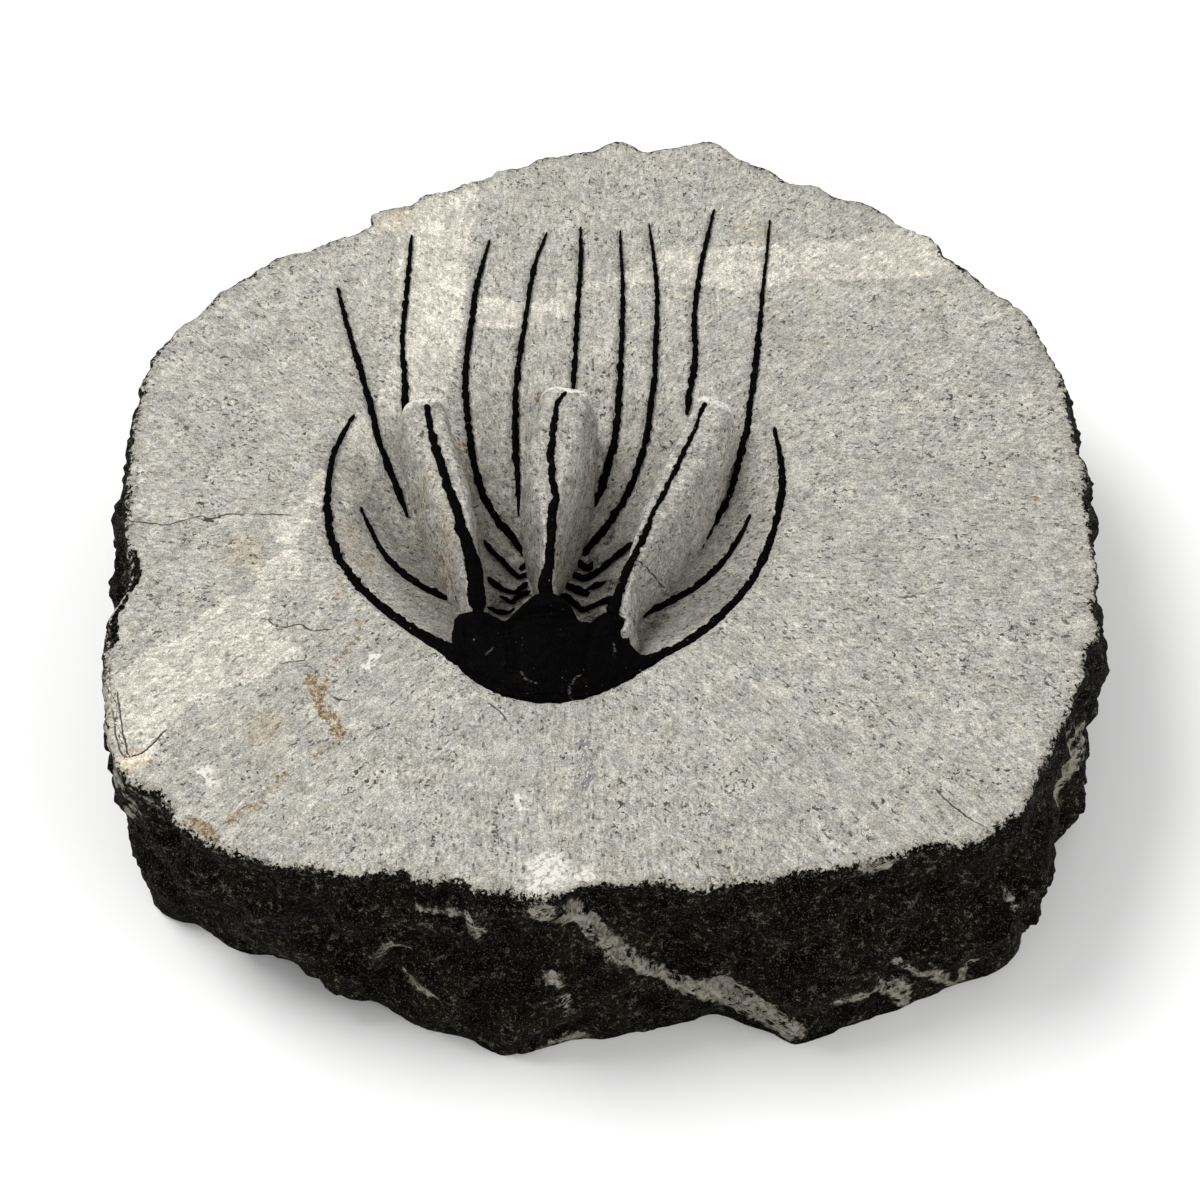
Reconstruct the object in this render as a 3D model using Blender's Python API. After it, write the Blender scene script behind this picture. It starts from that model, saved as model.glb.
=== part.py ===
"""Spiny trilobite fossil prepared in its limestone matrix.

A roundish slab of grey limestone, sawn flat underneath and broken rough round
the sides, has a bowl worked into its top.  The head of the trilobite lies at
the near rim of the bowl (-Y), with its thorax ribs on the bowl floor behind
it.  Long pleural spines run from the ribs up the bowl wall and out over the
flat top, two genal spines sweep round the rim, and three free-standing fins
of matrix carry the occipital spine and the two eye spines.

All sizes below are millimetres; meshes are written in metres.  The origin is
the middle of the flat underside, +Z up, with the head towards -Y.
"""
import math

import bmesh
import bpy
import numpy as np

MM = 0.001

# --- slab -------------------------------------------------------------------
SLAB_HEIGHT = 30.0
TOP_DOME = 0.7              # how far the top falls from its middle to the rim
TOP_REACH = 60.0            # mean radius of the rim
RIM_ROUNDING = 0.9          # radius worn on the edge between top and side
SIDE_DEPTH = 2.0            # the rough body reaches this far below the saw cut
ROUGH_COARSE = (1.3, 13.0, 7)   # broken sides: height, wavelength and seed
ROUGH_FINE = (0.6, 5.0, 8)
ROUGH_START = 0.25          # share of the side's height over which the roughness sets in
CHIP = (0.55, 6.0, 4)       # chips along the rim: height, wavelength and seed

# Plan outlines (x, y), counter-clockwise from the right.
RIM = [(59.5, 2.0), (57.5, 17.5), (54.5, 28.0), (48.5, 35.5), (38.0, 46.5), (25.5, 52.5), (14.5, 60.3),
       (8.0, 59.3), (1.5, 60.4), (-10.0, 57.0), (-23.5, 50.2), (-29.5, 46.8), (-30.5, 44.0), (-43.8, 37.0),
       (-55.0, 24.5), (-58.0, 11.0), (-57.3, -3.0), (-55.0, -14.5), (-57.0, -28.0), (-53.5, -39.5),
       (-44.5, -50.5), (-36.5, -53.5), (-17.5, -55.7), (-8.0, -59.2), (1.0, -57.5), (15.5, -56.5),
       (32.5, -53.5), (44.0, -48.5), (50.5, -36.5), (56.2, -24.0), (59.0, -12.0)]
FOOT = [(59.2, 4.0), (56.0, 19.0), (49.5, 34.0), (38.0, 45.0), (25.0, 53.5), (12.0, 58.5),
        (-1.5, 59.2), (-14.0, 56.0), (-26.0, 48.5), (-38.0, 42.0), (-51.0, 29.0), (-57.5, 13.0),
        (-59.5, -2.0), (-57.0, -17.0), (-56.0, -31.0), (-51.5, -41.0), (-41.5, -47.5), (-30.0, -52.0),
        (-19.5, -57.0), (-9.0, -60.0), (4.0, -57.0), (17.0, -55.5), (24.5, -60.0), (38.0, -54.5),
        (48.5, -48.5), (54.0, -36.0), (58.5, -18.0), (59.6, -6.0)]
BELLY = 1.2                 # how far the sides bulge half way down

# --- bowl -------------------------------------------------------------------
BOWL_DEPTH = 10.5
BOWL_CENTRE = (-5.5, -7.0)  # the deepest point
BOWL_RIM = [(-5.5, -28.5), (4.6, -27.0), (11.6, -23.2), (18.5, -14.6), (22.0, -6.0), (22.8, 2.0),
            (22.0, 10.0), (18.0, 18.0), (8.0, 23.0), (-5.5, 24.0), (-18.0, 22.0), (-27.5, 17.0),
            (-31.5, 9.0), (-33.5, 0.0), (-32.5, -9.0), (-27.0, -17.8), (-20.2, -24.0), (-13.0, -27.5)]
BACK_EASE = 0.8             # extra softness of the bowl's lip towards +Y
FLUTE_DEPTH = 0.35          # hollow left between neighbouring spines
FLUTE_REACH = 2.2           # how far a spine's low ridge spreads
FLUTE_ONSET = 4.0           # depth below the flat top at which the flutes are full

# --- fins: crest route in plan, crest height, half widths left and right -----
FIN_FOOT = 17.0             # fins are shaped down to here, below the bowl floor
FIN_FULLNESS = 6.5          # exponent of the loaf-shaped section
FIN_END = (2.0, 2.6)        # rounding of the near and the far end
END_SQUARENESS = 2.8        # how square the fins' ends are in plan
FINS = {
    "centre": dict(route=[(-6.4, -19.8), (-6.2, -13.0), (-6.1, -9.5), (-6.0, -6.0), (-5.7, 1.0), (-4.6, 9.4)],
                   crest=[29.3, 32.7, 34.3, 35.4, 35.8, 35.0],
                   left=[0.9, 0.9, 1.5, 2.8, 4.2, 4.2],
                   right=[0.9, 0.9, 1.1, 2.5, 4.6, 4.6]),
    "left": dict(route=[(-14.1, -21.0), (-15.3, -14.5), (-16.7, -9.0), (-18.3, -3.0), (-20.6, 7.4)],
                 crest=[29.3, 32.5, 34.8, 35.4, 34.8],
                 left=[1.2, 1.5, 2.7, 3.6, 4.6],
                 right=[1.1, 1.3, 2.6, 3.3, 3.0]),
    "right": dict(route=[(2.2, -21.2), (3.6, -14.5), (5.9, -8.5), (8.4, -2.0), (12.2, 7.8)],
                  crest=[29.3, 32.5, 34.8, 35.4, 34.8],
                  left=[0.9, 1.0, 1.3, 1.5, 1.7],
                  right=[1.2, 1.5, 3.7, 5.3, 5.2]),
}
BLEND = 0.8                 # fillet where a fin or the boss meets the bowl

# --- head -------------------------------------------------------------------
HEAD_MIDDLE = (-5.9, -26.0)
HEAD_HALF = [(0.0, -6.9), (4.8, -6.4), (7.9, -4.8), (9.9, -2.5), (11.3, 0.6), (11.5, 3.6), (10.9, 5.5),
             (9.2, 6.2), (7.0, 6.0), (5.4, 5.1), (3.6, 6.6), (1.8, 7.4), (0.0, 7.6)]
HEAD_EDGE = 29.5            # height of the shield's margin
HEAD_UNDER = 28.3           # height of its underside
HEAD_DOME = 1.5
GLABELLA = (-5.9, -23.6, 4.3, 5.2, 1.6)     # x, y, half width, half length, rise
EYES = ((-14.0, -21.3, 1.9, 1.9, 1.0), (2.2, -21.3, 1.9, 1.9, 1.0))
BOSS = (-5.9, -26.5, 12.2, 7.0)             # rock left standing under the head
BOSS_TOP = 29.2
BOSS_FULLNESS = 5           # exponent of its section
HEAD_RINGS = (1.0, 0.86, 0.66, 0.42, 0.2)   # rings of the shield's face, as shares of its outline
HEAD_POINTS = 40            # points round its outline

# --- spines: plan routes (x, y), radius at the base and towards the tip --------
GAP = 0.3                   # clearance between the shell and its bed in the rock
SPINE_SIDES = 6
PLEURAL_RADIUS = (0.56, 0.5)
RIB_RADIUS = (0.42, 0.4)
GENAL_RADIUS = (1.0, 0.5)
CREST_RADIUS = (0.85, 0.5)
TIP = 0.12                  # radius left at a spine's very tip
POINT_SHARE = 0.25          # share of a spine's length that comes to a point
START_SHARE = 0.12          # share that rounds off the start of a rib or a side spine
STATION = 5.0               # spacing of a spine's cross sections
CREST_STATIONS = 9          # cross sections of a crest spine

PLEURAL = {
    "pleural_spine_left_1": [(-17.2, -11.9), (-20.0, -11.3), (-23.4, -9.6), (-26.0, -6.4), (-28.2, -2.6),
                             (-29.4, -0.2)],
    "pleural_spine_left_2": [(-22.4, -2.2), (-24.6, 2.2), (-27.1, 8.4), (-28.6, 14.0), (-29.8, 19.5),
                             (-31.6, 26.3), (-33.2, 32.4)],
    "pleural_spine_left_3": [(-24.0, 13.6), (-24.4, 17.2), (-24.8, 23.7), (-24.8, 32.4), (-24.5, 41.8)],
    "pleural_spine_left_4": [(-9.4, -2.9), (-11.4, -0.5), (-13.2, 1.8), (-15.0, 6.0), (-16.1, 11.5),
                             (-16.7, 18.0), (-16.6, 25.0), (-15.9, 34.2), (-14.5, 41.4)],
    "pleural_spine_left_5": [(-9.9, 3.6), (-10.4, 7.0), (-10.6, 11.2), (-10.5, 17.0), (-9.8, 23.7), (-8.7, 36.0),
                             (-6.9, 43.3)],
    "pleural_spine_right_1": [(5.2, -13.6), (8.4, -12.6), (12.0, -11.0), (15.0, -8.3), (17.0, -5.2),
                              (17.9, -3.0)],
    "pleural_spine_right_2": [(11.6, -5.7), (13.6, -1.9), (15.6, 1.8), (17.3, 7.5), (18.4, 12.0),
                              (19.4, 20.3), (20.8, 32.4), (22.2, 44.7)],
    "pleural_spine_right_3": [(11.3, 14.6), (11.8, 20.5), (12.1, 28.9), (13.1, 37.8), (14.8, 46.6)],
    "pleural_spine_right_4": [(-2.0, -2.4), (-0.4, -0.4), (1.3, 1.8), (4.1, 6.5), (6.0, 12.2), (7.0, 22.1),
                              (7.3, 34.2), (6.4, 45.5)],
    "pleural_spine_right_5": [(-0.7, 3.4), (0.6, 6.7), (2.0, 12.4), (2.6, 20.8), (2.9, 32.4), (2.6, 44.2)],
    "tail_spine": [(-3.5, 14.4), (-3.2, 17.8), (-2.9, 25.4), (-2.4, 37.8), (-2.5, 46.0)],
}
RIBS = {
    "thorax_rib_left_1": [(-13.0, -12.2), (-11.1, -12.4), (-9.6, -10.4), (-8.5, -8.6)],
    "thorax_rib_left_2": [(-12.1, -9.6), (-10.6, -10.0), (-8.8, -7.1)],
    "thorax_rib_left_3": [(-13.8, -6.8), (-10.8, -8.2), (-9.0, -5.6)],
    "thorax_rib_left_4": [(-14.2, -1.5), (-12.0, -3.8), (-10.3, -5.6), (-9.1, -3.9)],
    "thorax_rib_right_1": [(-4.6, -9.4), (-2.1, -12.0), (-0.2, -11.4), (1.7, -10.3)],
    "thorax_rib_right_2": [(-4.0, -7.6), (-1.9, -9.2), (0.4, -7.3)],
    "thorax_rib_right_3": [(-3.3, -5.6), (-2.0, -6.8), (1.0, -4.6), (4.0, -1.9)],
    "thorax_rib_right_4": [(-2.9, -3.6), (-1.8, -4.7), (-0.5, -3.2)],
}
GENAL = {
    "genal_spine_left": [(-18.0, -24.9), (-20.3, -23.3), (-23.4, -20.6), (-26.8, -17.4), (-30.0, -13.4),
                         (-32.1, -8.4), (-33.1, -3.0), (-33.0, 1.5), (-32.3, 5.8), (-30.4, 11.2)],
    "genal_spine_right": [(6.2, -25.2), (8.2, -24.5), (11.6, -22.7), (15.1, -19.2), (18.5, -13.8),
                          (20.9, -7.6), (22.3, -0.8), (22.3, 4.3), (21.7, 8.8)],
}
CREST_SPINES = {"occipital_spine": "centre", "eye_spine_left": "left", "eye_spine_right": "right"}
CREST_START = 2.2           # where a crest spine starts, clear of the head

# --- mesh resolution ----------------------------------------------------------
GRID = 161                  # points along each side of the slab's top grid
RINGS = 11                  # rows of points down the rough sides
STONE_TRIANGLES = 3000      # left in the stone before the beds are cut
OUTLINE_STEPS = 1440        # points at which a closed outline is read
ROUTE_STEPS = 200           # points at which a spine's route is read
FIELD_STEPS = 60            # points along a route where distances to it are measured
SAW_BLOCK = (90.0, 20.0)    # half width and depth of the block that cuts the underside flat

MATERIALS = {               # base colour, roughness
    "limestone": ((0.46, 0.45, 0.42), 0.85),
    "shell": ((0.012, 0.010, 0.009), 0.45),
}


# --- curves and fields ----------------------------------------------------------
def curve(points, count, closed=False):
    """Catmull-Rom curve through the points, read at evenly spaced parameters."""
    p = np.asarray(points, float)
    if closed:
        p = np.vstack([p[-1:], p, p[:2]])
    else:
        p = np.vstack([2 * p[:1] - p[1:2], p, 2 * p[-1:] - p[-2:-1]])
    spans = len(p) - 3
    t = np.linspace(0, spans, count, endpoint=not closed)
    i = np.minimum(t.astype(int), spans - 1)
    f = (t - i)[:, None]
    a, b, c, d = p[i], p[i + 1], p[i + 2], p[i + 3]
    return 0.5 * (2 * b + (c - a) * f + (2 * a - 5 * b + 4 * c - d) * f**2 + (3 * b - a - 3 * c + d) * f**3)


def along(values, count):
    """The same curve for a list of plain numbers."""
    return curve([(v,) for v in values], count)[:, 0]


def radius_of(outline, centre=(0.0, 0.0)):
    """Radius of a closed plan outline about a centre, as a function of angle."""
    p = curve(outline, OUTLINE_STEPS, closed=True) - np.asarray(centre)
    angle = np.mod(np.arctan2(p[:, 1], p[:, 0]), math.tau)
    order = np.argsort(angle)
    known = np.concatenate([angle[order] + k * math.tau for k in (-1, 0, 1)])
    radius = np.tile(np.hypot(p[:, 0], p[:, 1])[order], 3)
    return lambda a: np.interp(np.mod(a, math.tau), known, radius)


def waves(points, wavelength, seed, count=14):
    """Smooth noise from -1 to 1: a sum of plane waves in seeded directions."""
    rng = np.random.default_rng(seed)
    aim = rng.normal(size=(count, points.shape[-1]))
    aim /= np.linalg.norm(aim, axis=1)[:, None]
    pitch = math.tau / (wavelength * rng.uniform(0.7, 1.5, count))
    phase = rng.uniform(0, math.tau, count)
    return np.cos(points @ (aim * pitch[:, None]).T + phase).sum(axis=-1) / (1.3 * math.sqrt(count))


def roughness(points, kind):
    """Waves of the given (height, wavelength, seed)."""
    height, wavelength, seed = kind
    return height * waves(points, wavelength, seed)


def blended_max(a, b, width=BLEND):
    """The larger of two heights, with a fillet of the given width between them."""
    h = np.clip(0.5 + 0.5 * (a - b) / width, 0, 1)
    return b + (a - b) * h + width * h * (1 - h)


bowl_radius = radius_of(BOWL_RIM, BOWL_CENTRE)


def plain_height(x, y):
    """Top of the slab with the bowl alone: depth * (1 - r^2)^e, r = 1 at the bowl's rim."""
    dx, dy = x - BOWL_CENTRE[0], y - BOWL_CENTRE[1]
    angle = np.arctan2(dy, dx)
    reach = np.hypot(dx, dy) / bowl_radius(angle)
    ease = 1 + BACK_EASE * np.clip(np.sin(angle), 0, 1) ** 2
    top = SLAB_HEIGHT - TOP_DOME * (x**2 + y**2) / TOP_REACH**2
    return top - BOWL_DEPTH * np.clip(1 - reach**2, 0, None) ** ease


def fin_height(x, y, fin):
    """A fin: its crest height, falling on each side as 1 - (offset / half width)^n."""
    steps = FIELD_STEPS
    line = curve(fin["route"], steps)
    tangent = np.gradient(line, axis=0)
    tangent /= np.linalg.norm(tangent, axis=1)[:, None]
    dx, dy = x[..., None] - line[:, 0], y[..., None] - line[:, 1]
    near = np.argmin(dx**2 + dy**2, axis=-1)
    px, py = x - line[near, 0], y - line[near, 1]
    past = px * tangent[near, 0] + py * tangent[near, 1]
    side = px * tangent[near, 1] - py * tangent[near, 0]
    past = np.where((near == 0) | (near == steps - 1), past, 0)
    half = np.where(side > 0, along(fin["right"], steps)[near], along(fin["left"], steps)[near])
    end = np.where(past > 0, FIN_END[1], FIN_END[0])
    u = (np.abs(past / end) ** END_SQUARENESS + np.abs(side / half) ** END_SQUARENESS) ** (1 / END_SQUARENESS)
    crest = along(fin["crest"], steps)[near]
    return FIN_FOOT + (crest - FIN_FOOT) * np.clip(1 - u**FIN_FULLNESS, -1, 1)


def boss_height(x, y):
    """The block of rock under the head, a steep-sided ellipse."""
    u = np.hypot((x - BOSS[0]) / BOSS[2], (y - BOSS[1]) / BOSS[3])
    return FIN_FOOT + (BOSS_TOP - FIN_FOOT) * np.clip(1 - u**BOSS_FULLNESS, -1, 1)


def distance_to(x, y, routes):
    """Plan distance to the nearest of several routes."""
    line = np.vstack([curve(r, FIELD_STEPS) for r in routes])
    return np.sqrt(np.min((x[..., None] - line[:, 0]) ** 2 + (y[..., None] - line[:, 1]) ** 2, axis=-1))


def stone_height(x, y):
    """Top of the slab with bowl, flutes, boss and fins."""
    h = plain_height(x, y)
    sunk = np.clip((SLAB_HEIGHT - h) / FLUTE_ONSET, 0, 1)
    apart = distance_to(x, y, list(PLEURAL.values()))
    h = h - FLUTE_DEPTH * sunk * np.clip(apart / FLUTE_REACH, 0, 1) ** 2
    h = blended_max(h, boss_height(x, y))
    for fin in FINS.values():
        h = blended_max(h, fin_height(x, y, fin))
    return h


# --- meshes ---------------------------------------------------------------------
def add_object(name, verts, faces, material=None, smooth=True):
    """A mesh object from points in millimetres, with its faces turned outwards."""
    mesh = bpy.data.meshes.new(name)
    mesh.from_pydata((np.asarray(verts) * MM).tolist(), [], faces)
    bm = bmesh.new()
    bm.from_mesh(mesh)
    bmesh.ops.recalc_face_normals(bm, faces=bm.faces)
    bm.to_mesh(mesh)
    bm.free()
    if smooth:
        mesh.shade_smooth()
    obj = bpy.data.objects.new(name, mesh)
    bpy.context.scene.collection.objects.link(obj)
    if material:
        mesh.materials.append(material)
    return obj


def as_cutter(obj):
    """Keep a guide shape out of the model: seen as wire, never rendered."""
    obj.display_type = "WIRE"
    obj.hide_render = True
    return obj


def make_material(name):
    colour, roughness = MATERIALS[name]
    material = bpy.data.materials.new(name)
    material.use_nodes = True
    shader = material.node_tree.nodes["Principled BSDF"]
    shader.inputs["Base Color"].default_value = (*colour, 1.0)
    shader.inputs["Roughness"].default_value = roughness
    shader.inputs["Metallic"].default_value = 0.0
    return material


def ring_faces(rings, count):
    """Quads between successive rings of `count` points each."""
    faces = []
    for j in range(rings - 1):
        for i in range(count):
            k = (i + 1) % count
            faces.append((j * count + i, j * count + k, (j + 1) * count + k, (j + 1) * count + i))
    return faces


def slab_object(material):
    """The whole stone: a square grid pressed into the rim's outline, then rings down the sides."""
    u, v = np.meshgrid(np.linspace(-1, 1, GRID), np.linspace(-1, 1, GRID), indexing="ij")
    dx, dy = u * np.sqrt(1 - v**2 / 2), v * np.sqrt(1 - u**2 / 2)
    angle, reach = np.arctan2(dy, dx), np.hypot(dx, dy)
    around_rim = TOP_REACH * np.stack([np.cos(angle), np.sin(angle)], -1)
    rim = radius_of(RIM)(angle) + roughness(around_rim, CHIP) - RIM_ROUNDING
    x, y = rim * reach * np.cos(angle), rim * reach * np.sin(angle)
    top = np.stack([x, y, stone_height(x, y)], -1)
    verts = list(top.reshape(-1, 3))
    faces = [(i * GRID + j, (i + 1) * GRID + j, (i + 1) * GRID + j + 1, i * GRID + j + 1)
             for i in range(GRID - 1) for j in range(GRID - 1)]

    edge = ([(i, 0) for i in range(GRID - 1)] + [(GRID - 1, j) for j in range(GRID - 1)]
            + [(i, GRID - 1) for i in range(GRID - 1, 0, -1)] + [(0, j) for j in range(GRID - 1, 0, -1)])
    count = len(edge)
    around = np.array([angle[e] for e in edge])
    inner = np.array([top[e] for e in edge])
    rim_r = np.array([rim[e] for e in edge]) + RIM_ROUNDING
    foot_r = radius_of(FOOT)(around)
    for f in np.linspace(0, 1, RINGS):
        radius = rim_r + (foot_r - rim_r) * f + BELLY * math.sin(math.pi * f)
        z = (inner[:, 2] - RIM_ROUNDING) * (1 - f) - SIDE_DEPTH * f
        ring = np.stack([radius * np.cos(around), radius * np.sin(around), z], -1)
        rough = roughness(ring, ROUGH_COARSE) + roughness(ring, ROUGH_FINE)
        radius = radius + rough * min(1.0, f / ROUGH_START)
        verts.extend(np.stack([radius * np.cos(around), radius * np.sin(around), z], -1))
    first = GRID * GRID
    rim_row = [i * GRID + j for i, j in edge]
    faces += [(rim_row[i], rim_row[(i + 1) % count], first + (i + 1) % count, first + i) for i in range(count)]
    faces += [tuple(first + k for k in face) for face in ring_faces(RINGS, count)]
    faces.append(tuple(first + (RINGS - 1) * count + i for i in range(count)))
    obj = add_object("matrix_stone", verts, faces, material, smooth=False)
    thin = obj.modifiers.new("thin", "DECIMATE")
    thin.ratio = STONE_TRIANGLES / (2 * len(faces))
    return obj


def tube(name, route, radii, extra=0.0, material=None):
    """A tapering spine with a polygon section, along a route of (x, y, z) points.

    `extra` swells it and lengthens both ends, which turns a spine into its own bed.
    """
    route = np.asarray(route, float)
    step = np.gradient(route, axis=0)
    step /= np.linalg.norm(step, axis=1)[:, None]
    route = np.vstack([route[:1] - extra * step[:1], route, route[-1:] + extra * step[-1:]]) if extra else route
    step = np.vstack([step[:1], step, step[-1:]]) if extra else step
    radii = np.asarray(radii) + extra
    radii = np.concatenate([radii[:1], radii, radii[-1:]]) if extra else radii
    across = np.stack([step[:, 1], -step[:, 0], np.zeros(len(step))], -1)
    across /= np.linalg.norm(across, axis=1)[:, None]
    up = np.cross(across, step)
    turn = (np.arange(SPINE_SIDES) + 0.5) * math.tau / SPINE_SIDES
    rings = (route[:, None] + radii[:, None, None]
             * (np.cos(turn)[:, None] * across[:, None] + np.sin(turn)[:, None] * up[:, None]))
    count = len(route)
    faces = ring_faces(count, SPINE_SIDES)
    faces.append(tuple(range(SPINE_SIDES)))
    faces.append(tuple((count - 1) * SPINE_SIDES + i for i in range(SPINE_SIDES)))
    return add_object(name, rings.reshape(-1, 3), faces, material)


def tapered(count, base, tip, blunt_start=False):
    """Radii along a spine: even taper, then a quick point over its last stretch."""
    t = np.linspace(0, 1, count)
    radii = base + (tip - base) * t
    radii *= np.sqrt(np.clip((1 - t) / POINT_SHARE, 0, 1))
    if blunt_start:
        radii *= np.sqrt(np.clip(t / START_SHARE, 0, 1))
    return np.maximum(radii, TIP)


def laid_route(plan):
    """A plan route laid on the bowl and the flat top, with evenly spaced stations."""
    fine = curve(plan, ROUTE_STEPS)
    run = np.concatenate([[0], np.cumsum(np.linalg.norm(np.diff(fine, axis=0), axis=1))])
    count = max(5, int(round(run[-1] / STATION)) + 3)
    at = np.linspace(0, run[-1], count)
    x, y = np.interp(at, run, fine[:, 0]), np.interp(at, run, fine[:, 1])
    return np.stack([x, y, plain_height(x, y)], -1)


def crest_route(fin):
    """The line along a fin's crest, from just behind the head to its far end."""
    fine = np.column_stack([curve(fin["route"], ROUTE_STEPS), along(fin["crest"], ROUTE_STEPS)])
    run = np.concatenate([[0], np.cumsum(np.linalg.norm(np.diff(fine, axis=0), axis=1))])
    at = np.linspace(CREST_START, run[-1], CREST_STATIONS)
    return np.column_stack([np.interp(at, run, fine[:, i]) for i in range(3)])


def head_top(x, y, reach):
    """Upper face of the shield: margin, low dome, glabella and the two eye lobes."""
    z = HEAD_EDGE + HEAD_DOME * np.sqrt(np.clip(1 - reach**2, 0, 1))
    for cx, cy, half_x, half_y, rise in (GLABELLA, *EYES):
        z = z + rise * np.exp(-((x - cx) / half_x) ** 2 - ((y - cy) / half_y) ** 2)
    return z


def head_object(name, extra=0.0, material=None):
    """The head shield: a polar grid inside its outline, closed by a flat underside."""
    left_half = [(-x, y) for x, y in reversed(HEAD_HALF[1:-1])]
    outline = curve(HEAD_HALF + left_half, HEAD_POINTS, closed=True)
    outward = outline / np.linalg.norm(outline, axis=1)[:, None]
    outline = outline + outward * extra
    middle = np.asarray(HEAD_MIDDLE)
    verts = [(*(middle + p), HEAD_UNDER - extra) for p in outline]
    for reach in HEAD_RINGS:
        flat = middle + outline * reach
        z = head_top(flat[:, 0], flat[:, 1], reach) + extra
        verts.extend(np.column_stack([flat, z]))
    count = len(outline)
    verts.append((*middle, head_top(middle[0], middle[1], 0.0) + extra))
    faces = ring_faces(len(HEAD_RINGS) + 1, count)
    last = len(HEAD_RINGS) * count
    faces += [(last + i, last + (i + 1) % count, len(verts) - 1) for i in range(count)]
    faces.append(tuple(range(count)))
    return add_object(name, verts, faces, material)


def cut_beds(stone, beds):
    """Take each bed, and the saw cut underneath, out of the stone."""
    for bed in beds:
        cut = stone.modifiers.new(bed.name, "BOOLEAN")
        cut.operation = "DIFFERENCE"
        cut.solver = "EXACT"
        cut.object = as_cutter(bed)


def saw_cut():
    """A block below the ground plane that leaves the underside flat."""
    wide, deep = SAW_BLOCK
    corners = [(x, y, z) for x in (-wide, wide) for y in (-wide, wide) for z in (-deep, 0.0)]
    faces = [(0, 1, 3, 2), (4, 6, 7, 5), (0, 4, 5, 1), (2, 3, 7, 6), (0, 2, 6, 4), (1, 5, 7, 3)]
    return add_object("saw_cut", corners, faces, smooth=False)


def clear_scene():
    for obj in list(bpy.data.objects):
        bpy.data.objects.remove(obj, do_unlink=True)


def main():
    clear_scene()
    limestone, shell = make_material("limestone"), make_material("shell")
    stone = slab_object(limestone)
    beds = [saw_cut()]

    head_object("head_shield", material=shell)
    beds.append(head_object("head_bed", extra=GAP))

    routes = {name: (laid_route(plan), PLEURAL_RADIUS, True) for name, plan in PLEURAL.items()}
    routes.update({name: (laid_route(plan), RIB_RADIUS, True) for name, plan in RIBS.items()})
    routes.update({name: (laid_route(plan), GENAL_RADIUS, False) for name, plan in GENAL.items()})
    routes.update({name: (crest_route(FINS[fin]), CREST_RADIUS, False) for name, fin in CREST_SPINES.items()})
    for name, (route, (base, tip), blunt) in routes.items():
        radii = tapered(len(route), base, tip, blunt)
        tube(name, route, radii, material=shell)
        beds.append(tube(f"{name}_bed", route, radii, extra=GAP))
    cut_beds(stone, beds)


if __name__ == "__main__":
    main()
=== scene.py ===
"""Spiny trilobite fossil in its limestone: the fine surfaces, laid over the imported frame.

The stone, the three fins, the head shield and every spine and rib are built again as
fine surfaces from the same measures as the solids, and given their finishes.  Measures
are millimetres in the tables below; meshes are written in metres.  +Z is up, the head
looks towards -Y, and the origin is the middle of the flat underside.
"""

import math

import bmesh
import bpy
import numpy as np
from bpy.props import FloatProperty, FloatVectorProperty, IntProperty, PointerProperty
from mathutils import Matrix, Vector


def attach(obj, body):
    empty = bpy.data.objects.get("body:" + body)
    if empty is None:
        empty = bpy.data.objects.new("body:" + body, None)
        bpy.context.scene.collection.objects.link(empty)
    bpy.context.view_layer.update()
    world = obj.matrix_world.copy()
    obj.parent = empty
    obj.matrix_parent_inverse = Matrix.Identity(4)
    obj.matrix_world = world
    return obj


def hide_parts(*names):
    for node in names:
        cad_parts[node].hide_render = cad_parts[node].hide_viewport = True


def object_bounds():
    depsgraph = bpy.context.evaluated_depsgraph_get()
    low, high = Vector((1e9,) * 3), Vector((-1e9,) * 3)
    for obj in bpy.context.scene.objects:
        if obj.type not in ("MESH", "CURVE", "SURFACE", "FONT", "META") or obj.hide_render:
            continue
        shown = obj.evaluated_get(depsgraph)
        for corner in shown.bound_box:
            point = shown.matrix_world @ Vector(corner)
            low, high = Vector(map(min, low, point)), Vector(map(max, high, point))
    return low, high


bl_info = {
    "name": "Trilobite Fossil",
    "version": (1, 0, 0),
    "blender": (4, 5, 0),
    "location": "3D View > Sidebar > Trilobite",
    "description": "Builds the fine surfaces of a spiny trilobite prepared in limestone",
    "category": "Add Mesh",
}

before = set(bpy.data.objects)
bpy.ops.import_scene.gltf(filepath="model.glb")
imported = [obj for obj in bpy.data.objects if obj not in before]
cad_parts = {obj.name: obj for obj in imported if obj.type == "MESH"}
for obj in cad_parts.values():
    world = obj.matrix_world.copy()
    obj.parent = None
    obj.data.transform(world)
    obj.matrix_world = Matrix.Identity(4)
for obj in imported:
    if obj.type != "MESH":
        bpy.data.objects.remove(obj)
cad_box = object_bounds()

MM = 0.001
BODY = "root"

# --- slab -------------------------------------------------------------------------
SLAB_HEIGHT = 30.0
TOP_DOME = 0.7              # how far the top falls from its middle to the rim
TOP_REACH = 60.0            # mean radius of the rim
RIM_ROUNDING = 0.9          # radius worn on the edge between top and side
SIDE_DEPTH = 2.0            # the broken side would end this far below the saw cut
ROUGH_COARSE = (1.3, 13.0, 7)   # broken sides: height, wavelength and seed
ROUGH_FINE = (0.6, 5.0, 8)
ROUGH_START = 0.25          # share of the side's height over which the roughness sets in
CHIP = (0.55, 6.0, 4)       # chips along the rim: height, wavelength and seed
FACET_LEAN = 1.6            # how steeply the broken facets may lie
BELLY = 1.2                 # how far the sides bulge half way down
LEFT_HOLLOW = (-152.0, 12.0, 1.3)   # a shallow hollow in the left side: angle, half angle and depth
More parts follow.
